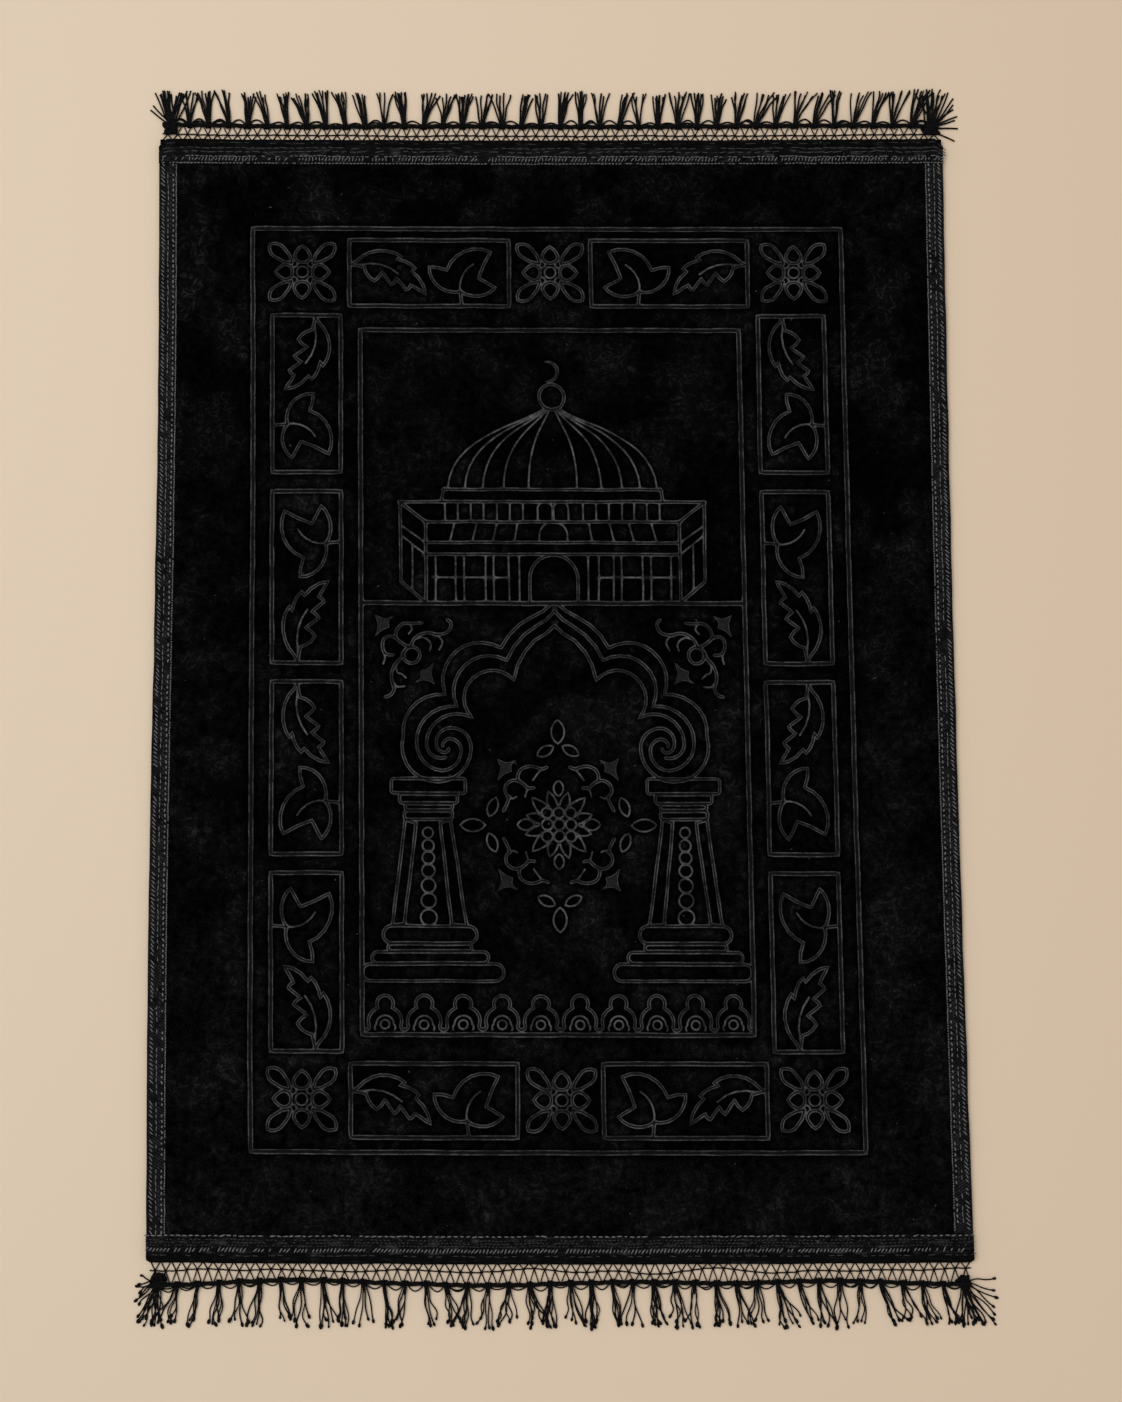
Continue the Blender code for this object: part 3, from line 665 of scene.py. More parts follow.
@dataclass
class FieldMotifs:
    """Crests along the foot, the medallion with its scrolls, stars and spandrel flourishes."""

    crests: int = 10
    crest_pitch: float = 38.0
    crest_shift: float = 0.9
    crest_foot: float = -344.4
    medallion: PlanPoint = (1.7, -139.3)
    bead_pitch: float = 11.6
    bead_radius: float = 5.3
    heart_petals: tuple[tuple[float, float, float], ...] = (
        (16.5, 34.5, 4.6), (45, 37.5, 5.6), (73.5, 33.0, 4.6),
    )
    medallion_star: PlanPoint = (52.3, 56.0)
    spandrel_stars: tuple[PlanPoint, PlanPoint] = ((-171.0, 60.5), (-127.5, 9.5))
    scroll_lines: tuple[tuple[Press, tuple[PlanPoint, ...]], ...] = (
        (FINE, ((11, 56.8), (16.6, 55), (22.6, 57), (29.5, 57.6), (36.4, 54.8), (39.6, 49.3), (39.8, 43.4))),
        (HAIR, ((17.2, 54), (21, 49.5), (25.3, 43.6))),
        (FINE, ((24.2, 36.2), (30, 36), (34.4, 40), (39.8, 43.4), (46, 43.3), (51.5, 39), (52.6, 32.5),
                (49.4, 27.2))),
        (HAIR, ((30.5, 35.2), (31.9, 31.2), (33, 27))),
        (HAIR, ((41.5, 27.4), (45.6, 25.8), (49.4, 27.2))),
        (FINE, ((49.2, 27), (51, 20.8), (54.8, 13.6))),
    )
    flourish_heart: tuple[Corner, ...] = ((-149.6, 31.4, -8.4), (-134.7, 26.4, -8.4))
    heart_place: int = 5
    flourish_lines: tuple[tuple[Press, tuple[PlanPoint, ...]], ...] = (
        (FINE, ((-158.8, 47.2), (-156.9, 54.4), (-151.3, 60.4), (-144.6, 61.2), (-138.6, 61), (-132, 61.7))),
        (HAIR, ((-143.5, 59.8), (-141.9, 55), (-145.3, 50.5))),
        (FINE, ((-158.8, 47.2), (-153.1, 41.8), (-147.8, 38.4), (-143.4, 37.3))),
        (FINE, ((-158.8, 47.2), (-165.8, 48.3), (-170.4, 44.7), (-171.3, 38), (-169.3, 32), (-165.2, 29.6),
                (-160.3, 29.4))),
        (HAIR, ((-169.6, 32.4), (-168.8, 26), (-170.3, 20.5))),
        (FINE, ((-143.4, 37.3), (-139.8, 44.9), (-133.1, 50), (-125.4, 51.6), (-118.8, 50.3), (-112.1, 50.3),
                (-106, 52.7), (-102.7, 58.3), (-103.7, 62.8), (-106.5, 65))),
        (HAIR, ((-137, 45.8), (-131, 46.9), (-125.5, 44.2), (-123, 39.4), (-124.4, 33.8))),
        (HAIR, ((-119.6, 50.2), (-114.4, 47.4), (-111.4, 42), (-115, 34.6))),
        (FINE, ((-150.6, 32), (-152.6, 26), (-158.7, 19.4), (-162.1, 10.5), (-161.5, 1.6), (-159.9, -5),
                (-163.3, -10.6), (-168.8, -12.8))),
        (HAIR, ((-153.7, 24.9), (-157, 19), (-156.2, 12), (-151.6, 9.8), (-147.7, 6))),
        (HAIR, ((-160.4, 1.6), (-156.4, -2.6), (-149.4, -2.3))),
    )
    leaves: tuple[tuple[float, float, float, float, float], ...] = (
        (0, 92, 24, 13, 90), (12.6, 73, 18.5, 9.5, -28), (0, -93.5, 24, 13, 90), (13.2, -75, 18.5, 9.5, 27),
        (84.6, -0.6, 25, 12.5, 0), (65.2, 17.4, 20, 9.8, -70), (65.8, -17.7, 20, 9.8, 70),
        (0, 36, 15, 9.5, 90), (0, -36.5, 15, 9.5, 90), (32.5, 0, 17, 11, 0),
    )

    def crest(self) -> list[Stroke]:
        """A trefoil crest that stands on the inner frame, with its half ring and bead.

        Returns:
            Its strokes.
        """
        foot = self.crest_foot
        edge = bulged((
            (-19.2, foot + 4.6, -1.0), (-15.2, foot + 8.0, 4.2), (-7, foot + 26, 12.0), (7, foot + 26, 4.2),
            (15.2, foot + 8.0, -1.0), (19.2, foot + 4.6, 0),
        ), FINE, closed=False)
        ring = ((-9.4, foot + 4.6, 1), (-8.5, foot + 10, 8.5), (8.5, foot + 10, 1), (9.4, foot + 4.6, 0))
        return [edge, bulged(ring, HAIR, False), circle(0, foot + 9.8, 4.4, HAIR)]

    def heart(self) -> list[Stroke]:
        """The medallion's heart: nine beads in a ring of pointed petals.

        Returns:
            Its strokes.
        """
        steps = (-self.bead_pitch, 0, self.bead_pitch)
        strokes = [circle(x, y, self.bead_radius, HAIR) for y in steps for x in steps]
        for quarter in range(4):
            for degrees, tip, half in self.heart_petals:
                petal = bulged(((19, -half, -1.6), (tip, 0, -1.6), (19, half, 0)), HAIR, closed=False)
                strokes.append(petal.turned(90 * quarter + degrees))
        return strokes

    def scroll(self) -> list[Stroke]:
        """A double scroll with leafy tails, for the upper right of the medallion."""
        return [flowing(points, press) for press, points in self.scroll_lines]

    def star(self) -> Stroke:
        """A pressed star of four points with drawn-in sides; the lower left one is blunt."""
        corners = ((-10.6, 7.6, 3.0), (-6.0, -3.0, 1.8), (7.2, -11.6, 3.2), (7.6, 8.9, 3.4))
        return bulged(corners, HAIR, filled=True)

    def flourish(self) -> list[Stroke]:
        """The spandrel's spray of loops and leafy arms, for the upper left corner.

        Returns:
            Its strokes.
        """
        drawn = [flowing(points, press) for press, points in self.flourish_lines]
        drawn.insert(self.heart_place, bulged(self.flourish_heart, FINE))
        return drawn

    def strokes(self) -> list[Stroke]:
        """Every stroke in the field.

        Returns:
            The strokes in place.
        """
        found = []
        for index in range(self.crests):
            centre = (index - (self.crests - 1) / 2) * self.crest_pitch + self.crest_shift
            found += [stroke.moved(centre, 0) for stroke in self.crest()]
        medallion = self.heart()
        for x, y, length, width, degrees in self.leaves:
            leaf = almond(x, y, length, width, degrees, HAIR)
            medallion += [leaf] if x == 0 else both([leaf])
        corner = [*self.scroll(), self.star().moved(*self.medallion_star)]
        medallion += both([*corner, *(stroke.scaled(1, -1) for stroke in corner)])
        found += [stroke.moved(*self.medallion) for stroke in medallion]
        near_corner, near_arch = self.spandrel_stars
        spandrel = [self.star().mirrored().moved(*near_corner), self.star().scaled(1, -1).moved(*near_arch)]
        return found + both([*self.flourish(), *spandrel])


# ---- node trees


Socket = bpy.types.NodeSocket
BEAD_RINGS = 5


class Wiring:
    """Adds nodes to a tree and joins them."""

    def __init__(self, tree: bpy.types.NodeTree) -> None:
        """Keep the tree that the nodes go in."""
        self.tree = tree

    def node(self, kind: str, wires: dict | None = None, **settings: object) -> bpy.types.Node:
        """Add a node.

        Args:
            kind: The node's type name.
            wires: Input name or number to a socket to join, or to a value.
            settings: The node's own properties.

        Returns:
            The new node.
        """
        made = self.tree.nodes.new(kind)
        for name, value in settings.items():
            setattr(made, name, value)
        for name, value in (wires or {}).items():
            if isinstance(value, Socket):
                self.tree.links.new(value, made.inputs[name])
            else:
                made.inputs[name].default_value = value
        return made

    def first(self, kind: str, wires: dict | None = None, **settings: object) -> Socket:
        """Add a node, as node() does, and give its first output."""
        return self.node(kind, wires, **settings).outputs[0]

    def math(self, operation: str, *values: object) -> Socket:
        """Add a Math node and give its result."""
        return self.first("ShaderNodeMath", dict(enumerate(values)), operation=operation)

    def times(self, value: object, factor: object) -> Socket:
        """Multiply two values."""
        return self.math("MULTIPLY", value, factor)

    def lifted(self, value: object, factor: object, rest: object) -> Socket:
        """Multiply a value by a factor and add the rest."""
        return self.math("MULTIPLY_ADD", value, factor, rest)

    def mapped(self, value: object, *ends: float, smooth: bool = False) -> Socket:
        """Map a value from (low, high) to (low, high), clamped.

        Args:
            value: The socket to map.
            ends: From low, from high, to low, to high.
            smooth: Whether the way between them is a smooth step.

        Returns:
            The mapped value's socket.
        """
        wires = {"Value": value, **dict(zip(("From Min", "From Max", "To Min", "To Max"), ends))}
        kind = "SMOOTHSTEP" if smooth else "LINEAR"
        return self.node("ShaderNodeMapRange", wires, interpolation_type=kind).outputs["Result"]

    def blend(self, factor: object, low: object, high: object) -> Socket:
        """Mix two colours by a factor; a Mix node's colours are its inputs 6 and 7 and its output 2."""
        return self.node("ShaderNodeMix", {"Factor": factor, 6: low, 7: high}, data_type="RGBA").outputs[2]

    def vector(self, **parts: object) -> Socket:
        """Put numbers together as a vector, with X, Y and Z as given and 0 for the rest."""
        return self.first("ShaderNodeCombineXYZ", parts)

    def chance(self, low: float, high: float, seed: object) -> Socket:
        """A random number for each point; 2 and 3 are the node's ends for plain numbers."""
        wires = {2: low, 3: high, "Seed": seed}
        return self.node("FunctionNodeRandomValue", wires, data_type="FLOAT").outputs[1]

    def recalled(self, name: str) -> Socket:
        """A number kept on each point."""
        return self.first("GeometryNodeInputNamedAttribute", {"Name": name}, data_type="FLOAT")

    def stored(self, geometry: object, name: str, value: object) -> Socket:
        """Keep a number on each point of a geometry and give the geometry.

        Args:
            geometry: The geometry.
            name: The number's name.
            value: The number.

        Returns:
            The geometry with its numbers.
        """
        wires = {"Geometry": geometry, "Name": name, "Value": value}
        kind = "GeometryNodeStoreNamedAttribute"
        return self.first(kind, wires, data_type="FLOAT", domain="POINT")

    def bead(self, segments: int) -> Socket:
        """A round bead of radius 1."""
        wires = {"Segments": segments, "Rings": BEAD_RINGS, "Radius": 1.0}
        return self.node("GeometryNodeMeshUVSphere", wires).outputs["Mesh"]

    def with_way(self, points: object, way: object) -> bpy.types.Node:
        """Keep the line's direction at each point, as the output called way.

        Args:
            points: The points.
            way: Their direction.

        Returns:
            The node, with the outputs Geometry and way.
        """
        kept = self.node("GeometryNodeCaptureAttribute", {"Geometry": points}, domain="POINT")
        kept.capture_items.new("VECTOR", "way")
        self.tree.links.new(way, kept.inputs["way"])
        return kept

    def smoothed(self, geometry: object) -> Socket:
        """Shade a geometry smooth."""
        return self.first("GeometryNodeSetShadeSmooth", {"Geometry": geometry})


def sockets(tree: bpy.types.NodeTree, side: str, *wanted: tuple[str, str, object]) -> None:
    """Give a tree its named inputs or outputs.

    Args:
        tree: The tree.
        side: INPUT or OUTPUT.
        wanted: Rows of name, kind of socket and default value or None.
    """
    for name, kind, value in wanted:
        made = tree.interface.new_socket(name=name, in_out=side, socket_type="NodeSocket" + kind)
        if value is not None:
            made.default_value = value


class GrowTree:
    """A Geometry Nodes tree that turns a piece's guide lines into its mesh."""

    name = "grow"
    inputs: tuple[tuple[str, str, object], ...] = ()

    def __init__(self) -> None:
        """Build the tree with its named inputs."""
        self.tree = bpy.data.node_groups.new(self.name, "GeometryNodeTree")
        self.tree.is_modifier = True
        sockets(self.tree, "INPUT", ("Guides", "Geometry", None), *self.inputs, ("Finish", "Material", None))
        sockets(self.tree, "OUTPUT", ("Piece", "Geometry", None))
        self.wiring = Wiring(self.tree)
        self.given = self.tree.nodes.new("NodeGroupInput").outputs
        grown = self.grow()
        real = self.wiring.node("GeometryNodeRealizeInstances", {0: grown})
        wires = {"Geometry": real.outputs[0], "Material": self.given["Finish"]}
        dressed = self.wiring.node("GeometryNodeSetMaterial", wires)
        self.wiring.node("NodeGroupOutput", {0: dressed.outputs[0]})

    def grow(self) -> Socket:
        """Wire the tree and give the geometry that it makes."""
        raise NotImplementedError

    def apply(self, name: str, guides: bpy.types.Mesh, finish: bpy.types.Material,
              **settings: object) -> bpy.types.Object:
        """Grow a piece from guide lines and keep it as a plain mesh.

        Args:
            name: The piece's name.
            guides: Mesh of guide lines in the frame.
            finish: The piece's material.
            settings: Input names, with _ for a space, to values.

        Returns:
            The piece's object.
        """
        piece = linked(name, guides)
        modifier = piece.modifiers.new("grow", "NODES")
        modifier.node_group = self.tree
        chosen = {key.replace("_", " "): value for key, value in settings.items()} | {"Finish": finish}
        for item in self.tree.interface.items_tree:
            if item.in_out == "INPUT" and item.name in chosen:
                modifier[item.identifier] = chosen[item.name]
        depsgraph = bpy.context.evaluated_depsgraph_get()
        mesh = bpy.data.meshes.new_from_object(piece.evaluated_get(depsgraph))
        piece.modifiers.clear()
        piece.data = mesh
        mesh.name = name
        bpy.data.meshes.remove(guides)
        return piece


class YarnTree(GrowTree):
    """Sweeps yarn along guide lines and ties a knot at each marked end.

    A guide point's thickness is the yarn's radius in metres, and its knot is the knot's radius.
    """

    name = "yarn"
    knot_sides = 7
    knot_range = (0.8, 1.2)
    inputs = (("Sides", "Int", 7), ("Knot Length", "Float", 1.5), ("Seed", "Int", 0))

    def grow(self) -> Socket:
        """Wire the sweep and the knots.

        Returns:
            The tubes and knots.
        """
        w = self.wiring
        lines = w.first("GeometryNodeMeshToCurve", {"Mesh": self.given["Guides"]})
        thickness = w.recalled("thickness")
        lines = w.stored(lines, "yarn_along", w.node("GeometryNodeSplineParameter").outputs["Length"])
        wires = {"Resolution": self.given["Sides"], "Radius": 1.0}
        ring = w.first("GeometryNodeCurvePrimitiveCircle", wires)
        angle = w.times(w.node("GeometryNodeSplineParameter").outputs["Factor"], 2 * math.pi)
        for attribute, operation in (("yarn_cos", "COSINE"), ("yarn_sin", "SINE")):
            ring = w.stored(ring, attribute, w.math(operation, angle))
        wires = {"Curve": lines, "Profile Curve": ring, "Scale": thickness, "Fill Caps": True}
        tubes = w.first("GeometryNodeCurveToMesh", wires)

        knot = w.recalled("knot")
        kept = w.with_way(lines, w.first("GeometryNodeInputTangent"))
        wires = {"Curve": kept.outputs["Geometry"]}
        points = w.first("GeometryNodeCurveToPoints", wires, mode="EVALUATED")
        wires = {"Vector": kept.outputs["way"]}
        turn = w.first("FunctionNodeAlignRotationToVector", wires, axis="Z")
        size = w.times(knot, w.chance(*self.knot_range, self.given["Seed"]))
        knots = w.first("GeometryNodeInstanceOnPoints", {
            "Points": points, "Selection": w.math("GREATER_THAN", knot, 0.0), "Rotation": turn,
            "Instance": w.bead(self.knot_sides),
            "Scale": w.vector(X=size, Y=size, Z=w.times(size, self.given["Knot Length"])),
        })
        joined = w.node("GeometryNodeJoinGeometry", {0: knots})
        self.tree.links.new(tubes, joined.inputs[0])
        return w.smoothed(joined.outputs[0])


class StitchTree(GrowTree):
    """Sets a row of thread stitches along guide lines."""

    name = "stitches"
    patch_scale = 28.0
    bead_sides = 6
    inputs = (
        ("Pitch", "Float", 0.0034), ("Length", "Float", 0.0027), ("Width", "Float", 0.0008),
        ("Height", "Float", 0.0007), ("Slant", "Float", 0.3), ("Stray", "Float", 0.2),
        ("Sideways", "Float", 0.0002), ("Missing", "Float", 0.05), ("Patchy", "Float", 0.0),
        ("Vary", "Float", 0.2), ("Seed", "Int", 0),
    )

    def grow(self) -> Socket:
        """Wire the row: points at the pitch, some of them left out, and a bead of thread on each.

        Returns:
            The stitches.
        """
        w, given = self.wiring, self.given
        lines = w.first("GeometryNodeMeshToCurve", {"Mesh": given["Guides"]})
        wires = {"Curve": lines, "Length": given["Pitch"]}
        row = w.node("GeometryNodeCurveToPoints", wires, mode="LENGTH").outputs
        kept = w.with_way(row["Points"], row["Tangent"])
        way = kept.outputs["way"]

        def draw(low: float, offset: int) -> Socket:
            """A random number up to 1 for each stitch."""
            return w.chance(low, 1.0, w.math("ADD", given["Seed"], float(offset)))

        patches = w.first("ShaderNodeTexNoise", {"Scale": self.patch_scale, "Detail": 1.0})
        bare = w.times(w.lifted(patches, 4.0, -2.0), given["Patchy"])
        present = w.math("GREATER_THAN", draw(0.0, 1), w.math("ADD", given["Missing"], bare))
        kind = "FunctionNodeAlignRotationToVector"
        flat = w.first(kind, {"Vector": way}, axis="X", pivot_axis="Z")
        lean = w.math("ADD", given["Slant"], w.times(draw(-1.0, 2), given["Stray"]))
        lean = w.first("FunctionNodeEulerToRotation", {0: w.vector(Z=lean)})
        wires = {"Rotation": flat, "Rotate By": lean}
        turn = w.first("FunctionNodeRotateRotation", wires, rotation_space="LOCAL")
        across = w.first("ShaderNodeVectorMath", {0: way, 1: (0, 0, 1)}, operation="CROSS_PRODUCT")
        wires = {0: across, "Scale": w.times(draw(-1.0, 3), given["Sideways"])}
        step = w.first("ShaderNodeVectorMath", wires, operation="SCALE")
        wires = {"Geometry": kept.outputs["Geometry"], "Offset": step}
        placed = w.first("GeometryNodeSetPosition", wires)
        stretch = w.lifted(draw(-1.0, 4), given["Vary"], 1.0)
        scale = w.vector(X=w.times(given["Length"], w.times(stretch, 0.5)), Y=w.times(given["Width"], 0.5),
                         Z=w.times(given["Height"], 0.5))
        wires = {"Geometry": w.bead(self.bead_sides), "Rotation": (0.0, math.pi / 2, 0.0)}
        lying = w.first("GeometryNodeTransform", wires)
        wires = {"Points": placed, "Selection": present, "Instance": lying, "Rotation": turn, "Scale": scale}
        return w.smoothed(w.first("GeometryNodeInstanceOnPoints", wires))


# ---- making pieces

Place = tuple[float, float, float]


def settle(piece: bpy.types.Object, slot: Slot, *nodes: str) -> bpy.types.Object:
    """Let the piece ride on the rug and hide the plain nodes it replaces.

    Args:
        piece: The finished piece.
        slot: Not used.
        nodes: Names of the plain nodes.

    Returns:
        The piece.
    """
    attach(piece, BODY)
    if nodes:
        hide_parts(*nodes)
    LOG.info("%s: %d vertices, %d faces", piece.name, len(piece.data.vertices), len(piece.data.polygons))
    return piece


def finished(name: str, bm: bmesh.types.BMesh, lay: RugLay,
             finishes: Sequence[bpy.types.Material]) -> bpy.types.Object:
    """Lay a drawn bmesh in the frame and link it as a piece.

    Args:
        name: The piece's name.
        bm: The bmesh in flat millimetres; it is freed.
        lay: How the rug lies.
        finishes: The piece's materials.

    Returns:
        The piece's object.
    """
    placed = lay.place(np.array([vert.co[:] for vert in bm.verts]))
    for vert, place in zip(bm.verts, placed):
        vert.co = place
    bmesh.ops.recalc_face_normals(bm, faces=bm.faces)
    mesh = bpy.data.meshes.new(name)
    bm.to_mesh(mesh)
    bm.free()
    for finish in finishes:
        mesh.materials.append(finish)
    return linked(name, mesh)


def offset(points: Sequence[PlanPoint], closed: bool, distance: float) -> list[PlanPoint]:
    """A polyline moved sideways to its left, with mitred corners, and swelling as its line does.

    Args:
        points: The polyline.
        closed: Whether its last point joins the first.
        distance: How far it moves, in mm.

    Returns:
        The moved polyline.
    """
    places = np.array(points)
    arriving = places - np.roll(places, 1, axis=0)
    leaving = np.roll(places, -1, axis=0) - places
    if not closed:
        arriving[0], leaving[-1] = leaving[0], arriving[-1]
    normals = []
    for way in (arriving, leaving):
        way = way / np.maximum(np.linalg.norm(way, axis=1), 1e-9)[:, None]
        normals.append(np.column_stack((-way[:, 1], way[:, 0])))
    mean = normals[0] + normals[1]
    mean /= np.maximum(np.linalg.norm(mean, axis=1), 1e-6)[:, None]
    stretch = np.minimum(1.6, 1.0 / np.maximum(0.3, (mean * normals[0]).sum(axis=1)))
    swell = np.array([swelling(x, y) for x, y in points])
    moved = places + mean * (distance * stretch * swell)[:, None]
    return [tuple(place) for place in moved]


def swelling(x: float, y: float) -> float:
    """How much wider than drawn a pressed line is at a place, as a factor."""
    return 1.0 + 0.16 * ripple(x, y, 11.0, 9.0)


def stationed(points: Sequence[PlanPoint], closed: bool, step: float) -> list[PlanPoint]:
    """A polyline with points added so that no stretch is longer than the step.

    Args:
        points: The polyline.
        closed: Whether its last point joins the first.
        step: The longest stretch, in mm.

    Returns:
        The polyline with its stations.
    """
    ends = [*points[1:], points[0]] if closed else points[1:]
    out: list[PlanPoint] = []
    for (x0, y0), (x1, y1) in zip(points, ends):
        parts = max(1, math.ceil(math.dist((x0, y0), (x1, y1)) / step))
        out += [(x0 + (x1 - x0) * k / parts, y0 + (y1 - y0) * k / parts) for k in range(parts)]
    return out if closed else [*out, tuple(points[-1])]


def within(places: np.ndarray, outline: Sequence[PlanPoint]) -> np.ndarray:
    """Mask of the places inside a closed outline.

    Args:
        places: Array of shape (n, 2) in mm.
        outline: The closed line.

    Returns:
        True for each place inside.
    """
    x, y = places.T
    mask = np.zeros(len(places), dtype=bool)
    for (x0, y0), (x1, y1) in zip(outline, [*outline[1:], outline[0]]):
        if y0 != y1:
            mask ^= ((y0 > y) != (y1 > y)) & (x < (x1 - x0) * (y - y0) / (y1 - y0) + x0)
    return mask


class PlaceBuckets:
    """Places sorted into square cells, to find those near a stretch of line."""

    cell = 10.0

    def __init__(self, places: np.ndarray) -> None:
        """Sort the places.

        Args:
            places: Array of shape (n, 2) in mm.
        """
        self.places = places
        self.cells: dict[tuple[int, int], list[int]] = {}
        for index, key in enumerate(map(tuple, np.floor(places / self.cell).astype(int).tolist())):
            self.cells.setdefault(key, []).append(index)

    def near(self, start: PlanPoint, end: PlanPoint, reach: float) -> np.ndarray:
        """Numbers of the places in the cells that a stretch and its reach touch.

        Args:
            start: The stretch's first point.
            end: Its last point.
            reach: How far from it, in mm.

        Returns:
            The numbers of the places.
        """
        ranges = []
        for a, b in zip(start, end):
            low, high = min(a, b) - reach, max(a, b) + reach
            ranges.append(range(math.floor(low / self.cell), math.floor(high / self.cell) + 1))
        found: list[int] = []
        for column in ranges[0]:
            for row in ranges[1]:
                found += self.cells.get((column, row), ())
        return np.array(found, dtype=int)


@dataclass
class VelvetMat:
    """The velvet mat: pressed pattern, swollen edge and the flange inside the folded tapes."""

    name: str = "velvet_mat_pile"
    top: float = 7.0
    half_top: PlanPoint = (373.0, 526.0)
    edge_rows: tuple[Place, ...] = (
        (376.0, 529.0, 6.85), (378.8, 531.8, 6.4), (380.7, 533.7, 5.7), (380.7, 533.7, 4.6),
        (398.7, 559.7, 4.6), (398.7, 559.7, 2.6), (380.7, 533.7, 2.6), (380.7, 533.7, 0.0),
    )
    pattern_lean: float = -0.0047
    pattern_stretch: float = 0.9972
    pattern_turn: float = -0.0018
    drawn_in: tuple[float, float] = (-0.7, 4.9)
    shoulder: float = 0.8
    station: float = 5.0
    grid: float = 8.5
    grid_margin: float = 3.0
    reach: float = 3.5
    fillet: float = 0.5
    patch_inside: float = 3.0
    sunk_reach: float = 1.0
    merge: float = 0.1
    swell: float = 0.35
    edge_station: float = 9.0
    free_columns: int = 44
    free_rows: int = 62
    free_jitter: float = 2.4
    free_edge: float = 4.0
    free_seed: int = 11
    unsteady: float = 0.6
    unsteady_size: float = 32.0
    drawn_half: float = 300.0
    drawn_power: float = 1.6

    def settled(self, strokes: Sequence[Stroke]) -> list[Stroke]:
        """Strokes with their stations, leaning as the pattern does and slightly unsteady.

        Args:
            strokes: The pattern as drawn.

        Returns:
            The pattern as it lies.
        """
        out = []
        for stroke in strokes:
            points = []
            for x, y in stationed(stroke.points, stroke.closed, self.station):
                x += self.pattern_lean * y
                reach = abs(x / self.drawn_half) ** self.drawn_power
                x += self.drawn_in[0] * reach if x < 0 else -self.drawn_in[1] * reach
                y = self.pattern_stretch * y + self.pattern_turn * x
                stray_x, stray_y = (self.unsteady * ripple(x, y, self.unsteady_size, k) for k in (1, 2))
                points.append((x + stray_x, y + stray_y))
            out.append(Stroke(points, stroke.closed, stroke.press, stroke.filled))
        return out

    def loops(self, stroke: Stroke) -> list[list[PlanPoint]]:
        """Closed lines along a stroke's shoulder, rim and floor.

        Args:
            stroke: The stroke.

        Returns:
            The lines.
        """
        found = []
        for step in (self.shoulder, 0.0, -self.shoulder):
            reach = stroke.press.half_width + step
            left = offset(stroke.points, stroke.closed, reach)
            right = offset(stroke.points, stroke.closed, -reach)
            if stroke.closed:
                found += [left, right]
                continue
            tips = []
            for end, inner in ((0, 1), (-1, -2)):
                here, back = Vector(stroke.points[end]), Vector(stroke.points[inner])
                tips.append(tuple(here + (here - back).normalized() * reach))
            found.append([tips[0], *left, tips[1], *right[::-1]])
        return found

    def pressed(self, places: np.ndarray, strokes: Sequence[Stroke]) -> tuple[np.ndarray, np.ndarray]:
        """How far places are pressed down, with fillets where strokes meet.

        Args:
            places: Array of shape (n, 2) in mm.
            strokes: The pressed strokes.

        Returns:
            For each place the depth in mm, and how far it lies inside the nearest stroke's edge in
            mm: from minus the reach on the free pile to the patch value on the floor of a patch.
        """
        buckets = PlaceBuckets(places)
        swell = np.array([swelling(x, y) for x, y in places])
        nearest = np.full(len(places), np.inf)
        total, deepest = np.zeros(len(places)), np.zeros(len(places))
        patch = np.full(len(places), -self.reach)
        for stroke in strokes:
            width = stroke.press.half_width
            touched = [np.array([], dtype=int)]
            ends = [*stroke.points[1:], stroke.points[0]] if stroke.closed else stroke.points[1:]
            for start, end in zip(stroke.points, ends):
                near = buckets.near(start, end, 1.2 * width + self.reach)
                if not len(near):
                    continue
                way = np.array(end) - start
                apart = places[near] - start
                along = np.clip(apart @ way / max(way @ way, 1e-9), 0.0, 1.0)
                away = np.linalg.norm(apart - along[:, None] * way, axis=1)
                nearest[near] = np.minimum(nearest[near], away)
                touched.append(near)
            near = np.unique(np.concatenate(touched))
            beyond = nearest[near] - width * swell[near]
            total[near] += np.exp(-beyond / self.fillet)
            sunk = near[beyond < self.sunk_reach]
            deepest[sunk] = np.maximum(deepest[sunk], stroke.press.depth)
            nearest[near] = np.inf
            if stroke.filled:
                inside = within(places, stroke.points)
                patch[inside] = self.patch_inside
                deepest[inside] = np.maximum(deepest[inside], stroke.press.depth)
        inside = self.fillet * np.log(np.maximum(total, math.exp(-self.reach / self.fillet)))
        share = np.maximum(np.clip(0.5 + inside / (2 * self.shoulder), 0.0, 1.0), patch > 0)
        return deepest * share**2, np.maximum(inside, patch)

    def between(self, strokes: Sequence[Stroke]) -> np.ndarray:
        """Scattered places on the free pile between the strokes.

        Args:
            strokes: The pattern as it lies.

        Returns:
            Array of shape (n, 2) in mm.
        """
        rng = random.Random(self.free_seed)
        limit_x, limit_y = (half - self.free_edge for half in self.half_top)
        places = []
        for row in range(-self.free_rows, self.free_rows + 1):
            for column in range(-self.free_columns, self.free_columns + 1):
                x = (column + 0.5 * (row % 2)) * self.grid + rng.uniform(-self.free_jitter, self.free_jitter)
                y = row * self.grid + rng.uniform(-self.free_jitter, self.free_jitter)
                if abs(x) < limit_x and abs(y) < limit_y:
                    places.append((x, y))
        found = np.array(places)
        _, inside = self.pressed(found, strokes)
        return found[inside < -self.grid_margin]

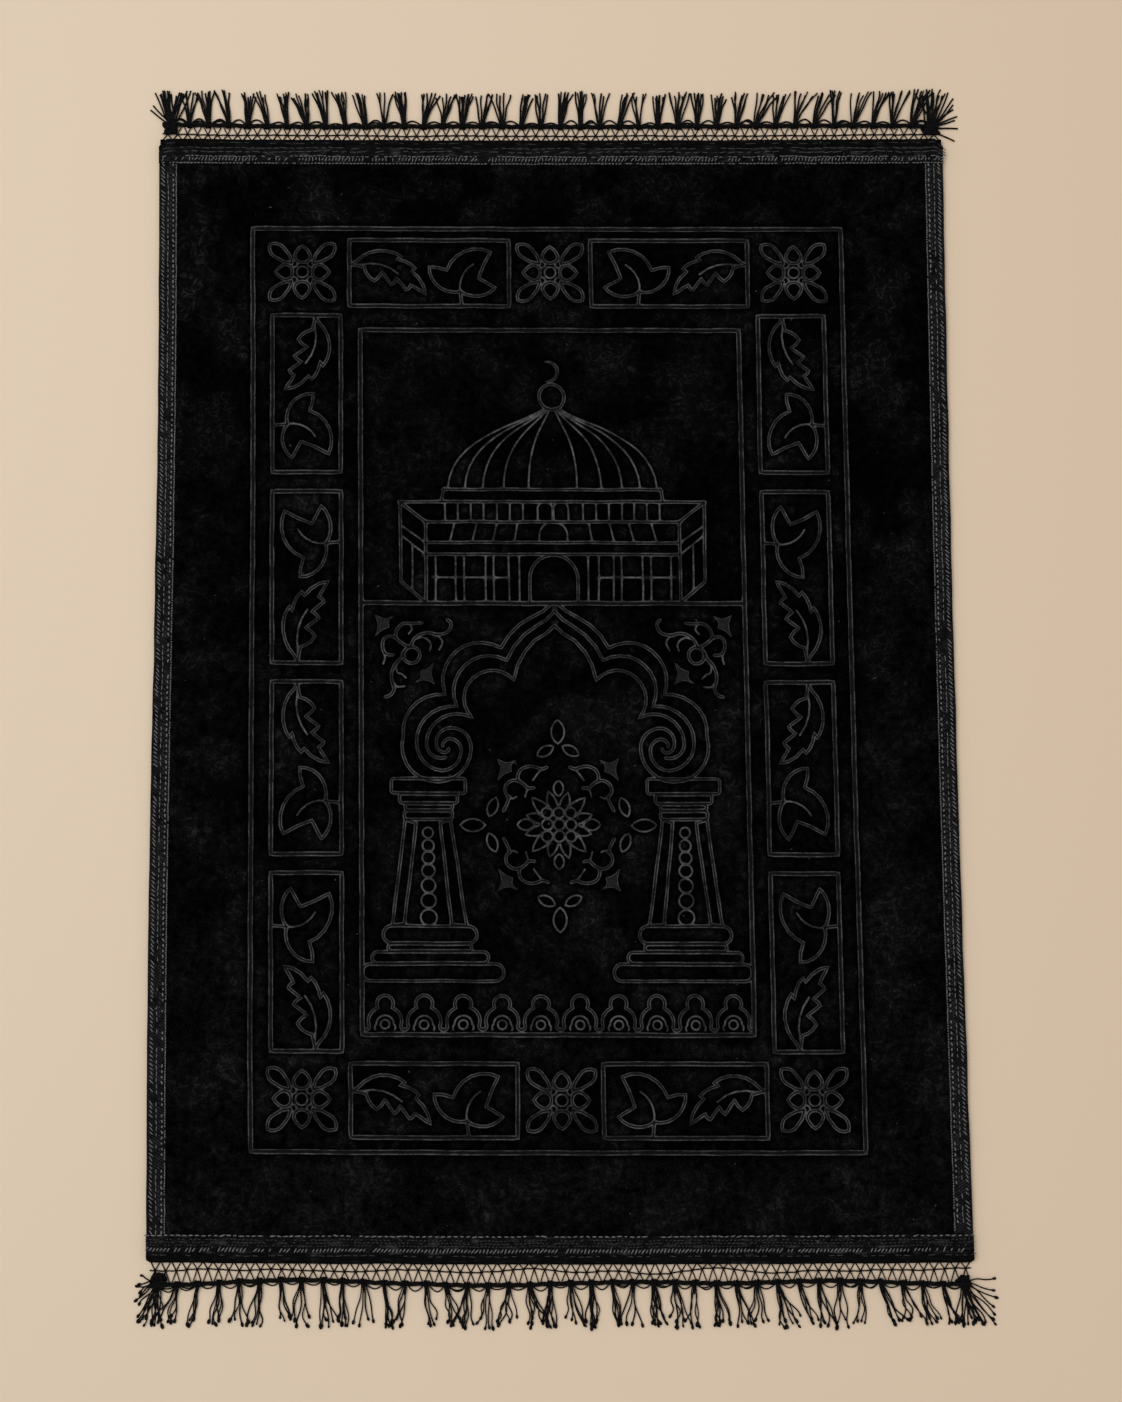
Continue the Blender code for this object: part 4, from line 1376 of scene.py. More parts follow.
    def build(self, strokes: Sequence[Stroke], lay: RugLay, pile: bpy.types.Material,
              ground: bpy.types.Material) -> bpy.types.Object:
        """Make the mat.

        Args:
            strokes: The pattern.
            lay: How the rug lies.
            pile: Finish of the velvet.
            ground: Finish of the underside.

        Returns:
            The piece.
        """
        strokes = self.settled(strokes)
        half_x, half_y = self.half_top
        outline = [(-half_x, -half_y), (half_x, -half_y), (half_x, half_y), (-half_x, half_y)]
        points: list[Vector] = []
        edges: list[tuple[int, int]] = []
        loops = [stationed(outline, True, self.edge_station)]
        for stroke in strokes:
            loops += self.loops(stroke)
        for loop in loops:
            first = len(points)
            points += [Vector(point) for point in loop]
            edges += [(first + k, first + (k + 1) % len(loop)) for k in range(len(loop))]
        points += [Vector(place) for place in self.between(strokes)]
        verts, _, faces, *_ = delaunay_2d_cdt(points, edges, [], 0, self.merge)
        places = np.array([vert[:] for vert in verts])
        depth, inside = self.pressed(places, strokes)

        bm = bmesh.new()
        press = bm.verts.layers.float.new("press")
        grown = []
        for (x, y), sunk, amount in zip(places, depth, inside):
            z = self.top - sunk + self.swell * (ripple(x, y, 55, 3) + 0.4 * ripple(x, y, 15, 4))
            vert = bm.verts.new((x, y, z))
            vert[press] = amount
            grown.append(vert)
        for face in faces:
            bm.faces.new([grown[index] for index in face])
        rim = [edge for edge in bm.edges if edge.is_boundary]
        for next_x, next_y, z in self.edge_rows:
            made = bmesh.ops.extrude_edge_only(bm, edges=rim)["geom"]
            for vert in (item for item in made if isinstance(item, bmesh.types.BMVert)):
                x, y = vert.co.x * next_x / half_x, vert.co.y * next_y / half_y
                lift = 0.25 * ripple(x, y, 21, 6) if z > 5.0 else 0.0
                vert.co = Vector((x, y, z + lift))
            rim = [item for item in made if isinstance(item, bmesh.types.BMEdge) and item.is_boundary]
            half_x, half_y = next_x, next_y
        under = bmesh.ops.holes_fill(bm, edges=rim, sides=0)["faces"]
        for face in bm.faces:
            face.smooth = True
        for face in under:
            face.material_index = 1
            face.smooth = False
        piece = finished(self.name, bm, lay, (pile, ground))
        return settle(piece, Slot.VELVET, "velvet_mat")


# ---- binding tapes


@dataclass(frozen=True)
class Fold:
    """Section of a tape folded over the mat's edge: (inset, height) all the way round."""

    name: str
    node: str
    slot: Slot
    width: float
    upper: tuple[PlanPoint, ...]
    lower: tuple[PlanPoint, ...]
    step: float
    pucker: float
    edge_sway: float
    chamfer: float = 0.0

    def section(self) -> list[PlanPoint]:
        """The whole section, with stations across the sewn top.

        Returns:
            Its points (inset, height) in mm.
        """
        start = self.upper[-1]
        count = max(1, round((self.width - start[0]) / self.step))
        top = [(start[0] + (self.width - start[0]) * k / count, start[1]) for k in range(1, count + 1)]
        return [*self.upper, *top, *self.lower]


SIDE_WIDTH, SIDE_STOP, SIDE_SEED = 19.0, 27.3, 31.0
END_WIDTH, END_SEED = 27.0, 41.0
END_CHAMFER = {End.HEAD: 8.0, End.FOOT: 2.0}
SEAM_HEIGHT = 5.95
SIDE_LOWER = ((19, 4.9), (1, 4.9), (1, 2.3), (19, 2.3), (19, 0), (1.2, 0))
END_LOWER = ((27, 4.9), (1, 4.9), (1, 2.3), (27, 2.3), (27, 1.5), (0.8, 1.5))
SIDE_UPPER = ((0, 1.2), (-0.2, 3.0), (0.1, 4.5), (0.9, 5.4), (2.0, 5.8), (3.4, 5.9))
END_UPPER = (
    (0, 2.4), (-0.3, 3.4), (0.1, 4.5), (1.2, 5.5), (2.8, 6.1), (4.6, 6.2), (6.4, 6.0), (7.6, 5.6), (8.4, 5.0),
    (9.2, 5.7), (10.4, 5.9),
)


@dataclass
class BindingTape:
    """One of the four binding tapes, swept along its edge of the mat."""

    fold: Fold
    lay: RugLay
    half_run: float
    seed: float
    station: float = 4.0
    sewn_share: float = 0.998
    sewn_edge: float = 0.4

    def place(self, along: float, inset: float, z: float) -> Place:
        """Flat place of a point of the tape; the kinds of tape say which way it runs."""
        raise NotImplementedError

    def surface(self, along: float, inset: float, z: float) -> Place:
        """The same place with the sway of the edge and the puckers between the stitches.

        Args:
            along: Distance along the tape from its middle, in mm.
            inset: Distance in from its outer edge, in mm.
            z: Height in mm.

        Returns:
            The flat place.
        """
        fold = self.fold
        share = min(1.0, max(0.0, inset / fold.width))
        sway = fold.edge_sway * ripple(along, 0, 48, self.seed) * (1 - share)
        sway += 0.45 * ripple(along, 0, 13, self.seed + 3) * share
        lift = 0.0
        if z > 5.0 and inset < fold.width + 0.1:
            broad = ripple(along, inset * 2.2, 10, self.seed + 5)
            lift = fold.pucker * (broad + 0.5 * ripple(along, inset * 3, 4.5, self.seed))
            lift *= min(1.0, inset / 5.0)
            lift -= 0.45 * math.exp(-((inset - fold.width + 1.2) / 0.9) ** 2)
        cut = max(0.0, abs(along) - self.half_run + fold.chamfer) * (1 - share)
        return self.place(along, inset + sway + cut, z + lift)

    def build(self, finish: bpy.types.Material) -> bpy.types.Object:
        """Make the tape.

        Args:
            finish: Its material, which reads the UV map along and across the tape in metres.

        Returns:
            The piece.
        """
        section = self.fold.section()
        reach = [0.0]
        for before, after in zip(section, [*section[1:], section[0]]):
            reach.append(reach[-1] + math.dist(before, after))
        count = round(2 * self.half_run / self.station)
        bm = bmesh.new()
        uv = bm.loops.layers.uv.new("tape")
        rows = []
        for index in range(count + 1):
            along = self.half_run * (2 * index / count - 1)
            rows.append((along, [bm.verts.new(self.surface(along, inset, z)) for inset, z in section]))
        size = len(section)
        for (along, near), (beyond, far) in zip(rows, rows[1:]):
            for k in range(size):
                after = (k + 1) % size
                face = bm.faces.new((near[k], near[after], far[after], far[k]))
                face.smooth = True
                start, stop = reach[k : k + 2]
                corners = ((along, start), (along, stop), (beyond, stop), (beyond, start))
                for loop, corner in zip(face.loops, corners):
                    loop[uv].uv = (corner[0] * MM, corner[1] * MM)
        bm.faces.new(rows[0][1])
        bm.faces.new(rows[-1][1])
        piece = finished(self.fold.name, bm, self.lay, (finish,))
        return settle(piece, self.fold.slot, self.fold.node)

    def row(self, inset: float, z: float, wander: float) -> "Thread":
        """A guide line along the tape for a row of stitches.

        Args:
            inset: Distance in from the outer edge, in mm.
            z: Height in mm.
            wander: How far the row strays to either side, in mm.

        Returns:
            The line.
        """
        count = round(2 * self.half_run / self.station)
        points = []
        for k in range(count + 1):
            along = self.half_run * (2 * k / count - 1) * self.sewn_share
            stray = ripple(along, inset, 38, self.seed + 7) + 0.6 * ripple(along, inset, 11, self.seed + 8)
            strayed = min(inset + wander * stray, self.fold.width - self.sewn_edge)
            points.append(self.surface(along, strayed, z))
        return Thread(points)


@dataclass
class SideTape(BindingTape):
    """A side tape, from end tape to end tape."""

    side: Side = Side.LEFT

    def place(self, along: float, inset: float, z: float) -> Place:
        """Flat place of a point of the tape."""
        return self.side.value * (self.lay.half_width - inset), along, z


@dataclass
class EndTape(BindingTape):
    """An end tape across the whole width."""

    end: End = End.HEAD

    def place(self, along: float, inset: float, z: float) -> Place:
        """Flat place of a point of the tape."""
        return along, self.end.value * (self.lay.half_length - inset), z


@dataclass
class Thread:
    """A guide line in flat millimetres, with the radius of its yarn and of the knot at its tip."""

    points: list[Place]
    radius: float = 0.5
    knot: float = 0.0
    taper: float = 0.0


def guide_mesh(name: str, threads: Sequence[Thread], lay: RugLay) -> bpy.types.Mesh:
    """Guide lines for the node trees, laid in the frame.

    Args:
        name: The mesh's name.
        threads: The lines.
        lay: How the rug lies.

    Returns:
        A mesh of edges with the attributes thickness and knot in metres.
    """
    places, edges, thickness, knots = [], [], [], []
    for thread in threads:
        first, count = len(places), len(thread.points)
        places += thread.points
        edges += [(first + k, first + k + 1) for k in range(count - 1)]
        thickness += [thread.radius * (1 - thread.taper * k / (count - 1)) for k in range(count)]
        knots += [*[0.0] * (count - 1), thread.knot]
    mesh = bpy.data.meshes.new(name + "_guides")
    mesh.from_pydata([tuple(place) for place in lay.place(np.array(places))], edges, [])
    for attribute, values in (("thickness", thickness), ("knot", knots)):
        layer = mesh.attributes.new(attribute, "FLOAT", "POINT")
        layer.data.foreach_set("value", np.array(values) * MM)
    return mesh


# ---- fringe


@dataclass(frozen=True)
class FringeCut:
    """Sizes of one end's trim in mm, with distances counted out from the tape's edge."""

    end: End
    net_depth: float
    reach: float
    side_reach: tuple[float, float]
    wave: float
    sag: float
    yarns: tuple[int, int]
    yarn: float
    knot: float
    fan: tuple[float, float]
    ragged: float
    stray_lean: float
    corner: tuple[float, float, float, float]
    corner_aims: tuple[tuple[float, float], tuple[float, float]]
    seed: int


HEAD_FRINGE = FringeCut(
    End.HEAD, net_depth=12.0, reach=54.0, side_reach=(412.0, 418.0), wave=0.9, sag=1.2, yarns=(5, 9),
    yarn=0.85, knot=0.0, fan=(5.5, 11.0), ragged=0.2, stray_lean=6.5, corner=(388.5, 10.5, 8.5, 6.5),
    corner_aims=((42.0, 112.0), (-24.0, 108.0)), seed=21,
)
FOOT_FRINGE = FringeCut(
    End.FOOT, net_depth=15.5, reach=61.5, side_reach=(411.0, 422.0), wave=2.6, sag=6.5, yarns=(4, 8),
    yarn=0.66, knot=1.5, fan=(3.0, 11.0), ragged=0.3, stray_lean=9.0, corner=(389.0, 17.5, 7.5, 7.5),
    corner_aims=((-12.0, 95.0), (-5.0, 100.0)), seed=22,
)


@dataclass
class Fringe:
    """Net, header cord, tassels and corner knots of one end."""

    cut: FringeCut
    lay: RugLay
    half: float = 397.0
    tassels: int = 40
    pitch: float = 20.0
    net_pitch: float = 10.2
    tuck: float = 6.0
    thread: float = 0.6
    net_stations: int = 400
    header_middle: float = 3.0
    header_z: float = 2.5
    header_lay: float = 36.0
    header_stations: int = 260
    strand: float = 1.3
    strands: int = 3
    wrap: float = 0.85
    wrap_turns: float = 2.5
    wrap_radius: float = 2.75
    wrap_width: float = 5.2
    wrap_steps: int = 26
    root_out: float = 1.2
    gathered: float = 1.7
    tassel_steps: int = 12
    trunk: float = 1.9
    trunk_taper: float = 0.7
    trunk_share: float = 0.25
    trunk_steps: int = 4
    scallop_steps: int = 10
    lump_loops: int = 16
    lump_yarn: float = 1.15
    lump_steps: int = 18
    splayed: int = 15
    splay_steps: int = 8

    @property
    def label(self) -> str:
        """The end's name."""
        return self.cut.end.name.lower()

    def out(self, s: float, t: float, z: float) -> Place:
        """Flat place of a point at s along the edge and t out from it, not below the floor."""
        return s, self.cut.end.value * (self.lay.half_length + t), max(0.72, z)

    def wavering(self, s: float, size: float, seed: float) -> float:
        """Smooth noise along the edge."""
        return ripple(s, 0, size, self.cut.seed + seed)

    def stations(self, count: int) -> list[float]:
        """Even stations along the whole trim."""
        return [-self.half + 2 * self.half * k / count for k in range(count + 1)]

    def header_line(self, s: float) -> float:
        """How far out the middle of the header cord lies."""
        sag = self.cut.sag * self.wavering(s, 160, 1) + 0.5 * self.wavering(s, 23, 2)
        return self.cut.net_depth + self.header_middle + sag

    def net(self) -> list[Thread]:
        """Two zigzag threads that cross on the net's middle thread, with a small knot at each crossing.

        Returns:
            The threads.
        """
        threads = []
        count = round(2 * self.half / self.net_pitch)
        step = 2 * self.half / count
        for phase in (0, 1):
            points = []
            for index in range(count + 1):
                s = -self.half + index * step
                outer = (index + phase) % 2
                over = 0.4 if (index // 2 + phase) % 2 else -0.2
                t = self.header_line(s) if outer else 0.0
                s_here = s + 0.8 * self.wavering(s, 7, 5 + phase)
                if outer:
                    points += [self.out(s_here - 0.6, t - 0.5, 1.5), self.out(s_here + 0.6, t - 0.5, 1.5)]
                else:
                    points += [self.out(s_here - 0.7, 0.4, 0.75), self.out(s_here, -self.tuck, 0.75),
                               self.out(s_here + 0.7, 0.4, 0.75)]
                if index < count:
                    middle = s + step / 2 + 0.7 * self.wavering(s, 9, 8)
                    points.append(self.out(middle, self.middle_line(middle), 1.3 + over))
            threads.append(Thread(points, self.thread))
        middle = [
            self.out(s, self.middle_line(s), 1.4 + 0.5 * math.sin(s * 2 * math.pi / self.net_pitch))
            for s in self.stations(self.net_stations)
        ]
        threads.append(Thread(middle, self.thread * 1.15))
        for index in range(count):
            s = -self.half + (index + 0.5) * step + 0.7 * self.wavering(-self.half + index * step, 9, 8)
            t = self.middle_line(s)
            knot = ((-1.3, -0.5, 1.5), (-0.2, 0.1, 2.3), (1.3, 0.5, 1.5))
            threads.append(Thread([self.out(s + ds, t + dt, z) for ds, dt, z in knot], self.thread * 0.6))
        return threads

    def middle_line(self, s: float) -> float:
        """How far out the middle thread of the net lies."""
        out = self.cut.net_depth * 0.46 + self.cut.sag * 0.8 * self.wavering(s, 60, 3)
        return out + 0.5 * self.wavering(s, 11, 4)

    def header(self) -> list[Thread]:
        """The loosely twisted header cord with a wrapped knot at each tassel.

        Returns:
            Its strands and the wraps.
        """
        threads = []
        for strand in range(self.strands):
            points = []
            for s in self.stations(self.header_stations):
                turn = 2 * math.pi * (s / self.header_lay + strand / self.strands)
                loose = 1.15 + 0.25 * self.wavering(s, 30, 30 + strand)
                t = self.header_line(s) + loose * math.cos(turn)
                points.append(self.out(s, t, self.header_z + loose * math.sin(turn)))
            threads.append(Thread(points, self.strand))
        rng = random.Random(self.cut.seed)
        for index in range(self.tassels):
            centre = self.centre(index)
            turns = self.wrap_turns + rng.uniform(-0.3, 0.4)
            steps = self.wrap_steps
            slant = rng.uniform(-1.2, 1.2)
            points = []
            for k in range(steps + 1):
                turn = 2 * math.pi * turns * k / steps + 1.2
                side = (k / steps - 0.5) * self.wrap_width + slant * math.cos(turn) * 0.5
                radius = self.wrap_radius + 0.3 * rng.uniform(-1, 1)
                t = self.header_line(centre) + radius * math.cos(turn)
                points.append(self.out(centre + side, t, self.header_z + 0.1 + radius * math.sin(turn)))
            threads.append(Thread(points, self.wrap))
        return threads

    def centre(self, index: int) -> float:
        """Where a tassel hangs along the header."""
        s = (index - (self.tassels - 1) / 2) * self.pitch
        return s + 1.1 * self.wavering(s, 17, 12)

    def lean(self, s: float) -> float:
        """How far a tassel's tip leans along the edge."""
        return -6.0 + 15.0 * (s + self.half) / (2 * self.half) + 2.5 * self.wavering(s, 34, 13)

    def hanging(self) -> list[Thread]:
        """The tassels' yarns with a knot at each tip, and the loops between tassels.

        Returns:
            The yarns.
        """
        rng = random.Random(self.cut.seed + 50)
        threads = []
        for index in range(self.tassels):
            centre = self.centre(index)
            threads += self.tassel(centre, rng)
            if index < self.tassels - 1:
                threads += self.scallops(centre, self.centre(index + 1), rng)
        return threads

    def tassel(self, centre: float, rng: random.Random) -> list[Thread]:
        """One tassel.

        Args:
            centre: Where it hangs along the header.
            rng: Source of its stray.

        Returns:
            Its yarns.
        """
        cut = self.cut
        root = self.header_line(centre) + self.root_out
        full = cut.reach - (root - self.root_out) - rng.uniform(1.0, 4.5)
        lean = self.lean(centre) + rng.uniform(-cut.stray_lean, cut.stray_lean)
        fan = rng.uniform(*cut.fan)
        count = rng.randint(*cut.yarns)
        threads = []
        for number in range(count):
            part = number / (count - 1) * 2 - 1 + rng.uniform(-0.3, 0.3)
            length = full * (1.0 - rng.triangular(0.0, cut.ragged, 0.02))
            phase, waves = rng.uniform(0, 2 * math.pi), rng.uniform(0.7, 1.6)
            swing = cut.wave * rng.uniform(0.3, 1.3)
            layer = 0.75 + 1.3 * ((number * 3) % count) / count
            open_late = rng.uniform(0.9, 1.9)
            points = []
            for k in range(self.tassel_steps + 1):
                u = k / self.tassel_steps
                spread = self.gathered * part + (fan - self.gathered) * part * u**open_late
                s = centre + spread + lean * u**1.2 + swing * u * math.sin(phase + waves * 2 * math.pi * u)
                t = root + length * u + 0.3 * swing * math.sin(phase + 4 * u)
                drop = (1 - u) ** 2
                z = layer + (self.header_z + 0.8 - layer) * drop + 0.5 * math.sin(phase + 7 * u) * u
                points.append(self.out(s, t, z))
            radius, knot = cut.yarn * rng.uniform(0.85, 1.12), cut.knot * rng.uniform(0.85, 1.15)
            threads.append(Thread(points, radius, knot))
        trunk = []
        for k in range(self.trunk_steps + 1):
            s = centre + lean * (k / self.trunk_steps) ** 1.2 * self.trunk_share**1.2
            t = root - 1.0 + k / self.trunk_steps * full * self.trunk_share
            trunk.append(self.out(s, t, self.header_z + 0.2 - 0.3 * k))
        threads.append(Thread(trunk, self.trunk, taper=self.trunk_taper))
        return threads

    def scallops(self, left: float, right: float, rng: random.Random) -> list[Thread]:
        """Slack loops of yarn from one tassel's knot to the next.

        Args:
            left: Where the one tassel hangs.
            right: Where the next one hangs.
            rng: Source of their stray.

        Returns:
            The loops.
        """
        threads = []
        for _ in range(rng.choice((1, 1, 2))):
            sag = rng.uniform(2.6, 6.0)
            start, end = left + rng.uniform(1.0, 3.0), right - rng.uniform(1.0, 3.0)
            skew = rng.uniform(0.8, 1.3)
            points = []
            for k in range(self.scallop_steps + 1):
                u = k / self.scallop_steps
                s = start + (end - start) * u
                hang = math.sin(math.pi * u**skew)
                points.append(self.out(s, self.header_line(s) + 1.3 + sag * hang, 2.6 - 1.6 * hang))
            threads.append(Thread(points, self.cut.yarn))
        return threads

    def corner_knot(self, side: Side) -> list[Thread]:
        """The lump of looped yarn at one corner, with the yarns that splay out of it.

        Args:
            side: The side of the corner.

        Returns:
            The yarns.
        """
        rng = random.Random(self.cut.seed + 5 * side.value)
        inset, middle_t, wide, deep = self.cut.corner
        middle_s = side.value * inset
        threads = []
        for loop in range(self.lump_loops):
            turn, squash = rng.uniform(0, 2 * math.pi), rng.uniform(0.25, 0.7)
            tilt = rng.uniform(0, math.pi)
            size = rng.uniform(0.45, 0.95)
            off_s, off_t = rng.uniform(-0.3, 0.3) * wide, rng.uniform(-0.3, 0.3) * deep
            points = []
            for k in range(self.lump_steps + 1):
                angle = turn + 2 * math.pi * 1.1 * k / self.lump_steps
                u, v = size * math.cos(angle), size * squash * math.sin(angle)
                s = middle_s + off_s + wide * (u * math.cos(tilt) - v * math.sin(tilt))
                t = middle_t + off_t + deep * (u * math.sin(tilt) + v * math.cos(tilt))
                points.append(self.out(s, t, 2.6 + 1.6 * math.sin(angle * 2 + tilt) + 0.1 * loop))
            threads.append(Thread(points, self.lump_yarn))
        low, high = (math.radians(degrees) for degrees in self.cut.corner_aims[side is Side.RIGHT])
        limit = self.cut.side_reach[side is Side.RIGHT] - 1.5
        top = self.cut.reach - middle_t - 1.5
        for number in range(self.splayed):
            aim = low + (high - low) * (number / (self.splayed - 1)) ** 0.6 + rng.uniform(-0.06, 0.06)
            length = min(top / max(0.2, math.sin(aim)), (limit - inset) / max(0.05, math.cos(aim)))
            length *= rng.uniform(0.85, 1.0)
            sway, phase = rng.uniform(0.4, 1.0) * self.cut.wave, rng.uniform(0, 6.28)
            root_s, root_t = rng.uniform(-0.7, 0.5) * wide, rng.uniform(0.0, 0.3) * deep
            points = []
            for k in range(self.splay_steps + 1):
                w = k / self.splay_steps
                s = root_s * (1 - w) + length * w * math.cos(aim) + sway * math.sin(phase + 5 * w) * w
                t = root_t * (1 - w) + length * w * math.sin(aim) + sway * math.cos(phase + 5 * w) * w
                points.append(self.out(middle_s + side.value * s, middle_t + t, 3.4 * (1 - w) ** 2 + 0.75))
            threads.append(Thread(points, self.cut.yarn, self.cut.knot))
        return threads


# ---- finishes

Colour = tuple[float, float, float]


def opaque(colour: Colour) -> tuple[float, float, float, float]:
    """A colour with full alpha."""
    return (*colour, 1.0)


class EffectGroup:
    """A shader effect shared by several finishes, as a node group made once."""

    name = "effect"
    inputs: tuple[tuple[str, str, object], ...] = ()

    @classmethod
    def tree(cls) -> bpy.types.NodeTree:
        """The group's tree, built on first use.

        Returns:
            The tree.
        """
        found = bpy.data.node_groups.get(cls.name)
        if found is None:
            found = bpy.data.node_groups.new(cls.name, "ShaderNodeTree")
            sockets(found, "INPUT", *cls.inputs)
            sockets(found, "OUTPUT", ("Value", "Float", None))
            w = Wiring(found)
            given = found.nodes.new("NodeGroupInput").outputs
            w.node("NodeGroupOutput", {0: cls.wire(w, given)})
        return found

    @classmethod
    def wire(cls, w: Wiring, given: bpy.types.NodeOutputs) -> Socket:
        """Wire the effect and give its value."""
        raise NotImplementedError


class Mottle(EffectGroup):
    """Soft blotches from 0 to 1."""

    name = "mottle"
    inputs = (
        ("Place", "Vector", None), ("Scale", "Float", 40.0), ("Low", "Float", 0.3), ("High", "Float", 0.7),
    )

    @classmethod
    def wire(cls, w: Wiring, given: bpy.types.NodeOutputs) -> Socket:
        """Wire the effect.

        Args:
            w: The group's wiring.
            given: The group's inputs.

        Returns:
            Its value.
        """
        wires = {"Vector": given["Place"], "Scale": given["Scale"], "Detail": 4.0, "Roughness": 0.6}
        value = w.first("ShaderNodeTexNoise", wires)
        wires = {"Value": value, "From Min": given["Low"], "From Max": given["High"]}
        return w.node("ShaderNodeMapRange", wires).outputs["Result"]


class Lint(EffectGroup):
    """Sparse short fibres and specks as a mask from 0 to 1."""

    name = "lint"
    inputs = (("Place", "Vector", None), ("Scale", "Float", 220.0), ("Amount", "Float", 0.05))

    @classmethod
    def wire(cls, w: Wiring, given: bpy.types.NodeOutputs) -> Socket:
        """Wire the effect.

        Args:
            w: The group's wiring.
            given: The group's inputs.

        Returns:
            Its value.
        """
        warp = w.node("ShaderNodeTexNoise", {"Vector": given["Place"], "Scale": 60.0}).outputs["Color"]
        wires = {0: warp, 1: (0.02, 0.02, 0.02), 2: given["Place"]}
        moved = w.first("ShaderNodeVectorMath", wires, operation="MULTIPLY_ADD")
        cells = w.node("ShaderNodeTexVoronoi", {"Vector": moved, "Scale": given["Scale"]}, feature="F1")
        chance = w.first("ShaderNodeSeparateColor", {0: cells.outputs["Color"]})
        near = w.mapped(cells.outputs["Distance"], 0.1, 0.24, 1.0, 0.0)
        return w.times(near, w.math("LESS_THAN", chance, given["Amount"]))


class Curl(EffectGroup):
    """Thin curling marks of brushed fibres as a mask from 0 to 1."""

    name = "curl"
    inputs = (("Place", "Vector", None), ("Scale", "Float", 90.0), ("Width", "Float", 0.02))

    @classmethod
    def wire(cls, w: Wiring, given: bpy.types.NodeOutputs) -> Socket:
        """Wire the effect.

        Args:
            w: The group's wiring.
            given: The group's inputs.

        Returns:
            Its value.
        """
        wires = {"Vector": given["Place"], "Scale": given["Scale"], "Detail": 2.0, "Distortion": 1.6}
        value = w.first("ShaderNodeTexNoise", wires)
        away = w.math("ABSOLUTE", w.math("SUBTRACT", value, 0.5))
        return w.math("MAXIMUM", w.math("SUBTRACT", 1.0, w.math("DIVIDE", away, given["Width"])), 0.0)


class Twist(EffectGroup):
    """Height of twisted plies on a swept yarn, from 0 to 1."""

    name = "twist"
    inputs = (
        ("Along", "Float", 0.0), ("Cosine", "Float", 0.0), ("Sine", "Float", 0.0), ("Lay", "Float", 900.0),
        ("Plies", "Float", 2.0),
    )

    @classmethod
    def wire(cls, w: Wiring, given: bpy.types.NodeOutputs) -> Socket:
        """Wire the effect.

        Args:
            w: The group's wiring.
            given: The group's inputs.

        Returns:
            Its value.
        """
        around = w.math("ARCTAN2", given["Sine"], given["Cosine"])
        turn = w.lifted(around, given["Plies"], w.times(given["Along"], given["Lay"]))
        return w.math("ABSOLUTE", w.math("COSINE", w.times(turn, 0.5)))


class Twill(EffectGroup):
    """Slanting ridges of a woven tape, from 0 to 1, broken by the warp."""

    name = "twill"
    warp_pitch = 0.0011
    inputs = (
        ("Along", "Float", 0.0), ("Across", "Float", 0.0), ("Pitch", "Float", 0.0023),
        ("Slope", "Float", 1.0), ("Wobble", "Float", 0.3),
    )

    @classmethod
    def wire(cls, w: Wiring, given: bpy.types.NodeOutputs) -> Socket:
        """Wire the effect.

        Args:
            w: The group's wiring.
            given: The group's inputs.

        Returns:
            Its value.
        """
        place = w.vector(X=given["Along"], Y=given["Across"])
        stray = w.first("ShaderNodeTexNoise", {"Vector": place, "Scale": 260.0, "Detail": 2.0})
        phase = w.math("DIVIDE", w.lifted(given["Across"], given["Slope"], given["Along"]), given["Pitch"])
        phase = w.math("ADD", phase, w.times(stray, given["Wobble"]))
        ridge = w.lifted(w.math("SINE", w.times(phase, 2 * math.pi)), 0.5, 0.5)
        warp = w.math("SINE", w.times(given["Across"], 2 * math.pi / cls.warp_pitch))
        return w.times(ridge, w.lifted(warp, 0.18, 0.82))


class Shader(Wiring):
    """A material with its Principled shader, ready to be wired."""

    def __init__(self, name: str, roughness: float, specular: float) -> None:
        """Make the material.

        Args:
            name: Its name.
            roughness: Roughness all over.
            specular: Specular level all over.
        """
        self.material = bpy.data.materials.new(name)
        self.material.use_nodes = True
        super().__init__(self.material.node_tree)
        self.surface = self.tree.nodes["Principled BSDF"]
        self.surface.inputs["Roughness"].default_value = roughness
        self.surface.inputs["Specular IOR Level"].default_value = specular

    def effect(self, group: type[EffectGroup], **wires: object) -> Socket:
        """Add a shared effect and give its value."""
        return self.first("ShaderNodeGroup", wires, node_tree=group.tree())

    def colour(self, value: Socket) -> None:
        """Join the base colour."""
        self.tree.links.new(value, self.surface.inputs["Base Color"])

    def bump(self, height: Socket, distance: float, strength: float = 1.0) -> None:
        """Join a height in units of a distance in metres."""
        made = self.node("ShaderNodeBump", {"Strength": strength, "Distance": distance, "Height": height})
        self.tree.links.new(made.outputs[0], self.surface.inputs["Normal"])

    def attribute(self, name: str) -> Socket:
        """A number kept on the mesh."""
        return self.node("ShaderNodeAttribute", attribute_name=name).outputs["Fac"]

    def place(self) -> Socket:
        """Object coordinates."""
        return self.node("ShaderNodeTexCoord").outputs["Object"]


